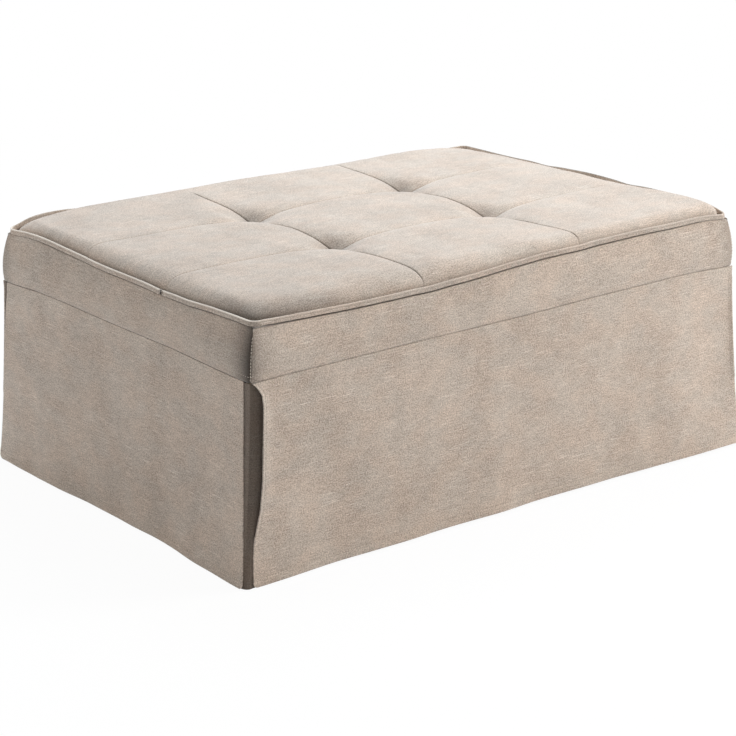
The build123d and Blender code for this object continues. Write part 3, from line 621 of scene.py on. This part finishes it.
# How far the band sways and ripples, and how deep its corners and seams are drawn in
BAND_SWAY, BAND_RIPPLE = 0.0011, 0.0005
CORNER_DENT, SEAM_DENT, STITCH_DENT = 0.0009, 0.0007, 0.0004
welt_rng = np.random.default_rng(5)
welt_wobble, welt_sway = smooth_noise(welt_rng, 0.20), smooth_noise(welt_rng, 0.12)


def seam_ends(point):
    """How close a point of the outline is to where a top seam meets the piping."""
    x, y = point
    on_long = np.abs(np.abs(y) - HALF_WIDTH) < 0.03
    on_short = np.abs(np.abs(x) - HALF_LENGTH) < 0.03
    return (on_long * fade(np.abs(x) - TUFT_X, SEAM_END)
            + on_short * fade(np.abs(y) - TUFT_Y, SEAM_END))


def corner_lean(point):
    """The front head corner's seam leans a little toward the front."""
    lean = fade(np.hypot(HALF_LENGTH + point[0], HALF_WIDTH + point[1]), 0.045)
    return 0.0026 * lean, -0.0018 * lean


def welt_wave(point):
    """How far the piping rises and stands out along its way round."""
    x, y = point
    ends = seam_ends(point)
    rise = 0.0012 * welt_wobble(x, y) - 0.0016 * ends + edge_rise(x, y)
    return rise, 0.0006 * welt_sway(x, y) - 0.0010 * ends


def band_out(t):
    """How far the band stands out from its lower edge's outline at a share t of its height."""
    return BAND_BULGE * 4 * t * (1 - t) - BAND_INSET * t ** 1.5


def make_band():
    rng = np.random.default_rng(23)
    points, normals, walked = rounded_outline(HALF_LENGTH, HALF_WIDTH, BAND_RADIUS, 0.006)
    slow, quick = smooth_noise(rng, 0.11), smooth_noise(rng, 0.045)
    x, y = points.T
    facing_x, facing_y = normals.T
    turning = (np.abs(facing_x) > 0.01) & (np.abs(facing_y) > 0.01)
    apex = fade(np.abs(facing_x) - np.abs(facing_y), 0.16) * turning
    to_corner = np.hypot(HALF_LENGTH - np.abs(x), HALF_WIDTH - np.abs(y))
    calm = 1 - fade(to_corner, 0.02)
    # Painted shade darkens the cloth in the corners, most on both sides of the front head corner,
    # and a little along the whole head side.
    to_front = np.hypot(HALF_LENGTH + x, HALF_WIDTH + y)
    near = fade(to_front, 0.034)
    fold = 0.30 * fade(to_corner, 0.02) + 0.12 * fade(to_corner, 0.05)
    fold += (0.64 * near + 0.14 * fade(to_front, 0.12) + 0.07) * (facing_x < -0.75)
    fold += 0.20 * near ** 6 * (facing_y < -0.9)
    ends = seam_ends(points.T)
    rise, sway = welt_wave(points.T)
    # The band sits closer under the piping along the head and toward the hinge.
    rise = rise + 0.0012 * np.maximum(np.clip(-facing_x, 0, 1), step_up(x, 0.30, 0.45))
    lean = np.column_stack(corner_lean(points.T))
    seam = seam_rise(x, y)
    count = len(points)
    verts, uvs, painted_shading = [], [], []
    for t in gathered((0, 1), OUTSIDE_ROWS, 0.35):
        up = BAND_HEIGHT * t
        z = BAND_BOTTOM + up
        arch = math.sin(math.pi * t)
        wave = BAND_SWAY * slow(walked, z * 0.35) + BAND_RIPPLE * quick(walked, z * 0.5)
        out = band_out(t) + wave * arch ** 0.7 * calm
        out = np.where(facing_x < -0.5, np.minimum(out, HEAD_BULGE), out)
        out -= CORNER_DENT * apex * (0.3 + 0.7 * arch)
        out -= SEAM_DENT * fade(up, 0.0008) + STITCH_DENT * fade(up - BAND_STITCH, LINE_WIDTH)
        out += (sway - 0.0010 * ends) * step_up(t, 0.7, 1.0)
        place = points + normals * out[:, None] + lean * math.sqrt(t)
        verts.append(np.column_stack([place, z + rise * t ** 1.5 + seam * (1 - t) ** 1.5]))
        uvs.append(np.column_stack([walked, np.full(count, z)]))
        # Painted shade: a faint line along the front at the lower seam, a strip under the piping,
        # and the corner apexes.
        line = 0.06 * fade(up, LINE_WIDTH) * np.clip(-facing_y, 0, 1)
        under = 0.12 * fade(BAND_SHOULDER - z, 0.0016)
        painted_shading.append(under + line + 0.5 * apex ** 3 + fold)
    inner_in = HALF_LENGTH - rim_high[0]
    shelf = PIPING_RADIUS + BAND_INSET
    for inset, z, up in ((shelf, BAND_SHOULDER, rise), (inner_in, DECK_TOP, 0),
                         (inner_in, BAND_BOTTOM, 0), (UNDER_TURN, BAND_BOTTOM, seam)):
        shrunk = points * (1 - inset / HALF_LENGTH, 1 - inset / HALF_WIDTH)
        verts.append(np.column_stack([shrunk, np.full(count, z) + up]))
        uvs.append(np.column_stack([walked, np.full(count, z + 0.03)]))
        # The inner rows get an even painted shade.
        painted_shading.append(np.full(count, 0.2))
    rows = len(verts)
    faces = grid_faces(rows, count, wrap=True)
    faces += wall_faces(range(count), range((rows - 1) * count, rows * count))
    piece = cloth_piece("boxing_band_cover", "boxing_band", "lid", "cover_fabric",
                        np.vstack(verts), faces, np.vstack(uvs), np.concatenate(painted_shading))


make_band()


# Piping: a folded welt with a bead on top and a stitch line, wavy, and lapped at its ends
PIPING_ROUND = 0.010
PIPING_STEP = 0.005
PIPING_LAP = 0.024
JOIN_Y = -TUFT_Y + 0.022
# The bead's middle, outward and up, and its radius
BEAD_OUT, BEAD_UP, BEAD_RADIUS = 0.0020, 0.0026, 0.0018
# The welt's outline under the bead: outward, up and how much painted shade lies there
WELT_SECTION = (
    (-0.0004, 0.0004, 0.3), (-0.0010, -0.0020, 0.5), (-0.0008, -0.0040, 0.5),
    (0.0010, -0.0046, 0.4), (0.0032, -0.0043, 0.3), (0.0039, -0.0036, 0.15),
    (0.0041, -0.0025, 0.13), (0.0040, -0.0010, 0.13), (0.0038, 0.0004, 0.2),
    (0.0032, 0.0011, 0.45),
)


def make_piping():
    points, normals, walked = rounded_outline(PIPING_X, PIPING_Y, PIPING_ROUND, PIPING_STEP)
    join = int(np.argmin(np.hypot(points[:, 0] + PIPING_X, points[:, 1] - JOIN_Y)))
    lap = int(PIPING_LAP / PIPING_STEP)
    order = [(join + k) % len(points) for k in range(len(points) + lap)]
    section = list(WELT_SECTION)
    # The bead's upper points are marked below 0, for a painted highlight.
    for k in range(11):
        angle = math.radians(-25 + 215 * k / 10)
        section.append((BEAD_OUT + BEAD_RADIUS * math.cos(angle),
                        BEAD_UP + BEAD_RADIUS * math.sin(angle), -1.0 if 1 < k < 8 else 0.0))
    grown = np.array([HALF_LENGTH / PIPING_X, HALF_WIDTH / PIPING_Y])
    rings, uvs, painted_shading = [], [], []
    last = len(order) - 1
    for number, index in enumerate(order):
        point, normal = points[index], normals[index]
        rise, shift = welt_wave(point * grown)
        tail = step_up(number, last - lap - 7, last)
        start = 1 - step_up(number, 0, lap + 6)
        to_corner = math.hypot(PIPING_X - abs(point[0]), PIPING_Y - abs(point[1]))
        shift = shift + 0.0022 * tail - 0.0012 * start + 0.0016 * fade(to_corner, 0.03)
        rise = rise + 0.0006 * tail - 0.0012 * start
        # The bead gets a painted highlight, most along the head and by the front head corner, and
        # painted shade along the foot; the welt below it gets more painted shade along the front.
        hidden = max(0.0, normal[0]) * step_up(point[1], -0.32, -0.22)
        near = fade(math.hypot(PIPING_X + point[0], PIPING_Y + point[1]), 0.06)
        shine = 0.05 + max(0.0, -normal[0]) - 0.65 * hidden + 0.30 * near
        front = max(0.0, -normal[1]) * (1 - 0.8 * step_up(point[0], 0.30, 0.45))
        # The cut ends have a second, slightly smaller ring, in painted shade.
        at_end = number in (0, last)
        for copy in range(1 + at_end):
            cut = at_end and (number == 0) == (copy == 0)
            size = 0.9 if cut else 1.0
            past = 0.0004 * cut * (1 if number else -1)
            for side, (out, up, dark) in enumerate(section):
                place = point + normal * (shift + out * size) + corner_lean(point * grown)
                rings.append((place[0], place[1] - past, PIPING_HEIGHT + rise + up * size))
                uvs.append((walked[index], side * 0.0012))
                tone = dark * (shine if dark < 0 else 0.2 + 0.5 * front)
                painted_shading.append(0.95 if cut else tone)
    sides, rows = len(section), len(order) + 2
    faces = grid_faces(rows, sides, wrap=True)
    faces.append(tuple(range(sides)))
    faces.append(tuple(range(rows * sides - 1, (rows - 1) * sides - 1, -1)))
    cloth_piece("top_welt", "top_piping", "lid", "cover_fabric", rings, faces, uvs, painted_shading)


make_piping()


# Skirts: flat panels that flare, with hems, soft folds and free upright edges
CLOTH = 0.0020
HEM_BOTTOM = front_low[2]
HEM_LINE = HEM_BOTTOM + 0.012
FLARE = -front_low[1] - HALF_WIDTH
SKIRT_TOP = BAND_BOTTOM - 0.0005
HEM_ROUND = 0.007
OPEN_SAG = 0.0035
EDGE_STITCH = 0.0075
# How far a panel sways and ripples, and how far in from a free edge its shapes reach
SKIRT_SWAY, SKIRT_RIPPLE = 0.0034, 0.0012
INSET_REACH, CURL_REACH, SAG_REACH = 0.10, 0.016, 0.16
# How far a free edge's bead and the hem stand out, and how deep the hem's stitch line is
EDGE_BEAD, HEM_THICK, HEM_GROOVE = 0.0011, 0.0007, 0.0005
# Distances of the columns near a free edge, in millimetres
EDGE_COLUMNS = (0, 1.2, 2.5, 4, 5.5, 7, 9, 11, 13.5, 17, 22, 28)
# Height, inset from the corner and outward curl of a free edge, in millimetres
OPEN_EDGE = ((319, 2.5, 0.5), (314, 8, 2.5), (301, 16.5, 6), (283, 18.5, 7), (228, 17.3, 7),
             (168, 16, 7), (123, 13, 5), (101, 9, 3), (78, 5.2, 1.2), (48, 4, 0.2), (4, 4.5, 0))
CLOSED_EDGE = ((319, 1, 0), (300, 4, 2), (200, 4, 3), (100, 3, 1), (4, 2.5, 0))
SHORT_EDGE = ((319, 18.5, 0), (200, 20, 0), (4, 21.5, 0))
HEAD_EDGE = ((319, 18.5, 0), (200, 18, 0), (100, 13.5, 0), (4, 6.5, 0))
NARROW_EDGE = ((319, 15, 0), (300, 13.5, 0), (270, 9, 0), (230, 5, 0), (4, 4, 0))
HEM_LINES = {}


def front_bow(across):
    """How far the front panel's hem swings out, growing toward the hinge end."""
    return 0.0030 * step_up(across, -0.20, 0.0) + 0.0085 * step_up(across, 0.10, 0.54)


def head_bow(across):
    """How far the head panel's hem swings out toward the front corner."""
    return 0.0125 * step_up(across, 0.05, 0.33)


def skirt_out(t):
    """How far a panel stands out at a share t of the way down."""
    return FLARE * (0.42 * t + 0.58 * t ** 2)


def edge_shape(edge, z):
    """The inset and curl of a free edge at a height, in metres."""
    rows = np.array(edge[::-1]) * MM
    return np.interp(z, rows[:, 0], rows[:, 1]), np.interp(z, rows[:, 0], rows[:, 2])


def sheet_rows(top):
    """Shares down a panel, closer together at its top and at its hem."""
    fine = 0.0013 / (top - HEM_BOTTOM)
    return np.concatenate([np.arange(4) * fine, np.linspace(5 * fine, 1 - 13 * fine, 46),
                           1 - np.arange(11, -1, -1) * fine])


def sheet_piece(name, node, body, slot, outer, inner, uvs, painted_shading, flip):
    """A thin sheet: its outer grid, its inner grid and the rim between them."""
    rows, columns = len(outer), len(outer[0])
    count = rows * columns
    faces = grid_faces(rows, columns) + [q[::-1] for q in grid_faces(rows, columns, count)]
    ring = grid_rim(rows, columns)
    for a, b in zip(ring, ring[1:] + ring[:1]):
        faces.append((b, a, count + a, count + b))
    return cloth_piece(name, node, body, slot, np.vstack(outer + inner),
                       [quad[::-1] for quad in faces] if flip else faces,
                       np.vstack(uvs + uvs), np.concatenate(painted_shading + painted_shading))


def make_skirt(node, body, direction, top, edges, seed, fold=1.0, bow=np.zeros_like):
    """One panel: direction is the way it faces, and edges are its two free edges."""
    rng = np.random.default_rng(seed)
    out = np.array(direction, float)
    across = np.cross((0, 0, 1), out)
    reach, half_span = (HALF_LENGTH, HALF_WIDTH) if direction[0] else (HALF_WIDTH, HALF_LENGTH)
    near_edge = half_span - np.array(EDGE_COLUMNS) * MM
    inside = near_edge[-1] - 0.008
    middle = np.linspace(-inside, inside, int(2 * half_span / 0.009))
    us = np.concatenate([-near_edge, middle, near_edge[::-1]])
    gap = half_span - np.abs(us)
    slow, quick = smooth_noise(rng, 0.26), smooth_noise(rng, 0.09)
    rows = sheet_rows(top)
    still = 1 - fade(gap, 0.07)
    top_line = out * reach + across * us[:, None]
    seam = seam_rise(top_line[:, 0], top_line[:, 1])
    round_up = HEM_ROUND - np.sqrt(HEM_ROUND ** 2 - np.clip(HEM_ROUND - gap, 0, None) ** 2)
    outer, inner, uvs, painted_shading = [], [], [], []
    for t in rows:
        level = top + (HEM_BOTTOM - top) * t
        hang = skirt_out(t)
        wave = SKIRT_SWAY * slow(us, level * 0.22) + SKIRT_RIPPLE * quick(us, level * 0.3)
        wave = wave * fold * step_up(t, 0.02, 0.6) * still
        z = level + round_up * step_up(t, 0.75, 1.0) + seam * (1 - t) ** 2
        u, curled = us.copy(), np.zeros(len(us))
        for sign, edge in zip((-1, 1), edges):
            inset, curl = edge_shape(edge, level)
            this_gap = half_span - sign * us
            u += sign * (hang - inset) * fade(this_gap, INSET_REACH, 1.3)
            curled += curl * fade(this_gap, CURL_REACH, 1.4)
            if edge in (OPEN_EDGE, HEAD_EDGE):
                z = z - OPEN_SAG * t ** 3 * fade(this_gap, SAG_REACH, 1.5)
        groove = fade(level - HEM_LINE, LINE_WIDTH)
        stand = np.minimum(hang + wave, FLARE * 1.2) + curled + bow(us) * t ** 2
        stand += EDGE_BEAD * fade(gap, 0.0035, 4) * (curled > 0.0015)
        stand += HEM_THICK * step_up(HEM_LINE - level, 0, 0.002) - HEM_GROOVE * groove
        place = out * (reach + stand)[:, None] + across * u[:, None]
        outer.append(np.column_stack([place[:, :2], z]))
        inner.append(np.column_stack([(place - out * CLOTH)[:, :2], z]))
        uvs.append(np.column_stack([u + seed, z]))
        # Painted shade along the top seam, in the hem's stitch line and in the stitch line by a
        # curled free edge.
        dark = 0.08 * fade(top - level, LINE_WIDTH) + 0.12 * groove
        painted_shading.append(dark + 0.35 * fade(gap - EDGE_STITCH, LINE_WIDTH) * (curled > 0.001))
    piece = sheet_piece(f"{node}_cloth", node, body, "cover_fabric", outer, inner, uvs, painted_shading,
                        True)
    row = int(np.argmin(np.abs(top + (HEM_BOTTOM - top) * rows - HEM_LINE)))
    line = outer[row][3:-3] + out * 0.0003
    HEM_LINES.setdefault(body, []).append((line, np.tile(out, (len(line), 1))))


make_skirt("skirt_front", "base", (0, -1, 0), SKIRT_TOP, (OPEN_EDGE, CLOSED_EDGE), 3,
           bow=front_bow)
make_skirt("skirt_back", "base", (0, 1, 0), SKIRT_TOP, (OPEN_EDGE, CLOSED_EDGE), 4)
make_skirt("skirt_head", "base", (-1, 0, 0), SKIRT_TOP, (NARROW_EDGE, HEAD_EDGE), 5, 1.2,
           head_bow)
make_skirt("skirt_foot", "pull_out", (1, 0, 0), foot_high[2], (SHORT_EDGE, NARROW_EDGE), 6)


# Corner pleats: cloth folded round each corner behind the open edges of the skirts
PLEAT_RETURN = 0.05
FOOT_RETURN = 0.018
PLEAT_ROUND = 0.012
PLEAT_TIGHT = 0.004
PLEAT_CLOTH = 0.0009
PLEAT_SETBACK = 0.00205


def pleat_path(long_return, radius):
    """Points round a corner with their outward directions, from the long side to the short."""
    path = [(-long_return + (long_return - radius) * k / 5, 0.0, 0.0, 1.0) for k in range(6)]
    for k in range(1, 9):
        angle = math.pi / 2 * k / 8
        path.append((-radius * (1 - math.sin(angle)), -radius * (1 - math.cos(angle)),
                     math.sin(angle), math.cos(angle)))
    path += [(0.0, -radius - (PLEAT_RETURN - radius) * k / 6, 1.0, 0.0) for k in range(1, 7)]
    return np.array(path)


def make_pleat(end, side):
    """One corner's pleat: end is 1 at the hinge end, and side is 1 at the back."""
    where, body, top, long_return = (
        ("foot", "pull_out", foot_high[2], FOOT_RETURN) if end > 0
        else ("head", "base", SKIRT_TOP - 0.0015, PLEAT_RETURN))
    top += float(seam_rise(end * HALF_LENGTH, side * HALF_WIDTH))
    sag = OPEN_SAG if end == side else 0
    walked = lengths_along(pleat_path(long_return, PLEAT_ROUND)[:, :2])
    signs = np.array([end, side])
    corner = np.array([HALF_LENGTH, HALF_WIDTH]) - PLEAT_SETBACK
    outer, inner, uvs, painted_shading = [], [], [], []
    for t in sheet_rows(top):
        radius = PLEAT_TIGHT + (PLEAT_ROUND - PLEAT_TIGHT) * step_up(t, 0, 0.7)
        path = pleat_path(long_return, radius)
        z = np.full(len(path), top + (HEM_BOTTOM - top) * t - sag * t ** 3)
        place = (corner + skirt_out(t) + path[:, :2]) * signs
        if end < 0:
            place[:, 0] -= head_bow(-place[:, 1]) * t ** 2
            place[:, 1] += side * 0.002 * t ** 2 * (1 - step_up(-path[:, 0], 0.006, 0.016))
        elif side < 0:
            place[:, 1] -= front_bow(place[:, 0]) * t ** 2
        outer.append(np.column_stack([place, z]))
        inner.append(np.column_stack([place - PLEAT_CLOTH * path[:, 2:] * signs, z]))
        uvs.append(np.column_stack([walked + 2 * end + side, z]))
        # Painted shade over the whole pleat, most just behind the panel's free edge and less
        # toward the hem.
        behind = fade(path[:, 0] + 0.004, 0.016) * (path[:, 3] > 0.5)
        painted_shading.append(0.28 + 0.32 * behind * (1 - 0.6 * step_up(t, 0.6, 0.95)))
    piece = sheet_piece(f"pleat_{where}_{'back' if side > 0 else 'front'}",
                        f"corner_pleats_{where}", body, "pleat_fabric", outer, inner, uvs, painted_shading,
                        end * side < 0)


for end, side in CORNERS:
    make_pleat(end, side)


# Sleeping pads: quilted channels with stitched valleys and drawn-in sides
CHANNELS = 8
VALLEY_DEPTH = 0.0075
VALLEY_WIDTH = 0.016
PAD_ROLL = 0.03
PAD_EDGE_DROP = 0.016
PAD_PULL = 0.006
PAD_BULGE = 0.0035
PAD_LEVELS = 7


def make_pad(name, node, body, crown_up, seed):
    rng = np.random.default_rng(seed)
    low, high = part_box(node)
    centre = (low[0] + high[0]) / 2, (low[1] + high[1]) / 2
    half_x, half_y = (high[0] - low[0]) / 2, (high[1] - low[1]) / 2 - 0.001
    step = 2 * half_x / CHANNELS
    gx, gy = np.meshgrid(gathered(step * np.arange(CHANNELS + 1) - half_x, 17, 0.7),
                         gathered((-half_y, half_y), 61, 0.75))
    slow = smooth_noise(rng, 0.12)
    seam = np.abs(((gx + half_x) / step) % 1)
    seam = np.minimum(seam, 1 - seam) * step
    edge_gap = np.minimum(half_x - np.abs(gx), half_y - np.abs(gy))
    edge = 1 - np.sqrt(np.clip(1 - np.clip(1 - edge_gap / PAD_ROLL, 0, 1) ** 2.2, 0, 1))
    drop = VALLEY_DEPTH * fade(seam, VALLEY_WIDTH, 1.2) * (1 - edge) + PAD_EDGE_DROP * edge
    drop = np.clip(drop + 0.0006 * (1 - slow(gx, gy)), 0.0006, None)
    top = high[2] - drop if crown_up else low[2] + drop
    bottom = low[2] + 0.0005 if crown_up else high[2] - 0.0005
    rows, columns = gx.shape
    px, py = gx + centre[0], gy * (1 - PAD_PULL * fade(seam, 0.02) / half_y) + centre[1]
    crown = np.stack([px, py, top], axis=-1).reshape(-1, 3)
    flat = np.stack([px, py, np.full_like(px, bottom)], axis=-1).reshape(-1, 3)
    ring = grid_rim(rows, columns)
    count, size = len(ring), len(crown)
    walls = []
    for level in range(1, PAD_LEVELS):
        share = level / PAD_LEVELS
        bulge = PAD_BULGE * math.sin(math.pi * share) - 0.001
        wall = crown[ring] * (1 - share) + flat[ring] * share
        away = wall[:, :2] - centre
        at_side = np.abs(np.abs(away) - (half_x, half_y)) < (0.008, 0.012)
        wall[:, :2] += np.where(at_side, np.sign(away), 0) * bulge
        walls.append(wall)
    faces = grid_faces(rows, columns, flip=not crown_up)
    faces += grid_faces(rows, columns, size, flip=crown_up)
    chain = [ring] + [range(start, start + count)
                      for start in range(2 * size, 2 * size + (PAD_LEVELS - 1) * count, count)]
    chain.append([size + i for i in ring])
    for upper, lower in zip(chain, chain[1:]):
        faces += wall_faces(upper, lower, not crown_up)
    uvs = [crown[:, :2], flat[:, :2]]
    uvs += [np.column_stack([wall[:, 0] + wall[:, 1], wall[:, 2]]) for wall in walls]
    # Painted shade in the stitched valleys.
    painted_shading = 0.5 * fade(seam, 0.0022) * (1 - edge)
    rest = np.zeros(size + len(walls) * count)
    piece = cloth_piece(name, node, body, "ticking", np.vstack([crown, flat] + walls), faces,
                        np.vstack(uvs), np.concatenate([painted_shading.ravel(), rest]))


make_pad("head_sleeping_pad", "head_mattress", "base", True, 31)
make_pad("foot_sleeping_pad", "foot_mattress", "lid", False, 32)


# Stitches: short threads set along the band, the corner seams and the hems
THREAD_SIDES = 5
THREAD_SUNK = 0.0002
POST_STITCHES = 14
# Along a thread: the share of its length, of its thickness, and its lift off the cloth
THREAD_SHAPE = ((0, 0.3, -0.0003), (0.25, 1, 0.0), (0.75, 1, 0.0), (1, 0.3, -0.0003))


def at_length(values, walked, place):
    """The values along a line of points at a length walked along it."""
    return np.array([np.interp(place, walked, values[:, axis]) for axis in range(3)])


def make_stitches(name, lines, body, radius, length=0.0032, gap=0.0022):
    """Small rounded threads along lines of points, each with the cloth's outward direction."""
    verts, faces = [], []
    for points, outs in lines:
        walked = lengths_along(points)
        for begin in np.arange(int(walked[-1] / (length + gap))) * (length + gap):
            first = at_length(points, walked, begin)
            out = at_length(outs, walked, begin)
            along = at_length(points, walked, begin + length) - first
            size = np.linalg.norm(along)
            if size < length / 2:
                continue
            side_way = np.cross(along / size, out)
            for share, thick, lift in THREAD_SHAPE:
                middle = first + along * share + out * lift
                for side in range(THREAD_SIDES):
                    angle = 2 * math.pi * side / THREAD_SIDES
                    verts.append(middle + radius * thick * (
                        math.cos(angle) * out + math.sin(angle) * side_way))
            end = len(verts)
            start = end - len(THREAD_SHAPE) * THREAD_SIDES
            faces += grid_faces(len(THREAD_SHAPE), THREAD_SIDES, start, wrap=True)
            faces.append(tuple(range(start + THREAD_SIDES - 1, start - 1, -1)))
            faces.append(tuple(range(end - THREAD_SIDES, end)))
    mesh_piece(name, verts, faces, body).data.materials.append(thread)


def stitch_everything():
    """Stitch rows above the band's lower edge, at its corners and along the hems."""
    points, normals = rounded_outline(HALF_LENGTH, HALF_WIDTH, BAND_RADIUS, 0.02)[:2]
    t = BAND_STITCH / BAND_HEIGHT
    height = BAND_BOTTOM + BAND_STITCH + seam_rise(*points.T) * (1 - t) ** 1.5
    line = np.column_stack([points + normals * (band_out(t) - THREAD_SUNK), height])
    outs = np.column_stack([normals, np.zeros(len(points))])
    row = [(np.vstack([line, line[:1]]), np.vstack([outs, outs[:1]]))]
    make_stitches("band_stitches", row, "lid", 0.0003)
    posts = []
    shares = np.linspace(0.03, 0.90, POST_STITCHES)
    for end, side in CORNERS:
        corner = np.array([end * HALF_LENGTH, side * HALF_WIDTH])
        away = np.array([end, side * 0.8]) / math.hypot(1, 0.8)
        reach = BAND_RADIUS + band_out(shares) - THREAD_SUNK
        places = (corner - BAND_RADIUS * np.array([end, side]) + away * reach[:, None]
                  + np.sqrt(shares)[:, None] * np.array(corner_lean(corner)))
        heights = (BAND_BOTTOM + BAND_HEIGHT * shares + edge_rise(*corner) * shares ** 1.5
                   + seam_rise(*corner) * (1 - shares) ** 1.5)
        posts.append((np.column_stack([places, heights]), np.tile((*away, 0), (len(shares), 1))))
    make_stitches("corner_stitches", posts, "lid", 0.00055, 0.0046, 0.0006)
    for body, lines in HEM_LINES.items():
        make_stitches(f"hem_stitches_{body}", lines, body, 0.0004)


stitch_everything()


# Floor, backdrop and lights
def make_floor():
    """A pale floor that is white wherever no shadow falls."""
    mesh = bpy.data.meshes.new("floor")
    size = 30.0
    mesh.from_pydata([(-size, -size, 0), (size, -size, 0), (size, size, 0), (-size, size, 0)], [],
                     [(0, 1, 2, 3)])
    floor = add_object("floor", mesh)
    material, n = new_material("pale_floor")
    n.put(n.shader, {"Base Color": (0.93, 0.93, 0.93), "Roughness": 0.9})
    distance = n.add("ShaderNodeVectorMath", {0: n.place()}, operation="LENGTH")
    whitened = n.spread(distance.outputs["Value"], 0.8, 2.6, 0.95, 1.0)
    glow = n.add("ShaderNodeEmission", {"Color": (1, 1, 1), "Strength": 1.0})
    n.link_mixed("Material Output", n.times(whitened, n.seen()), n.shader, glow)
    mesh.materials.append(material)


def make_world():
    """Soft light from all round, and plain white to the eye."""
    world = bpy.data.worlds.new("studio")
    bpy.context.scene.world = world
    world.use_nodes = True
    n = Nodes(world.node_tree)
    light = n.add("ShaderNodeBackground", {"Color": (1.0, 0.985, 0.97), "Strength": 0.40})
    white = n.add("ShaderNodeBackground", {"Color": (1, 1, 1), "Strength": 1.0})
    n.link_mixed("World Output", n.seen(), light, white)


def make_light(name, place, target, size, power, colour):
    data = bpy.data.lights.new(name, "AREA")
    data.shape = "RECTANGLE"
    data.size, data.size_y = size
    data.energy = power
    data.color = colour
    aim(add_object(name, data), place, Vector(target) - Vector(place))


make_floor()
make_world()
make_light("key", (3.0, -1.6, 2.4), (0.2, 0.0, 0.3), (1.4, 1.4), 128.0, (1.0, 0.975, 0.95))
make_light("top", (1.1, 1.0, 2.8), (0.1, 0.1, 0.4), (2.0, 1.8), 69.0, (0.82, 0.92, 1.0))
make_light("left", (-2.0, 1.9, 1.3), (-0.5, 0.2, 0.25), (1.2, 1.2), 14.5, (1.0, 0.985, 0.97))
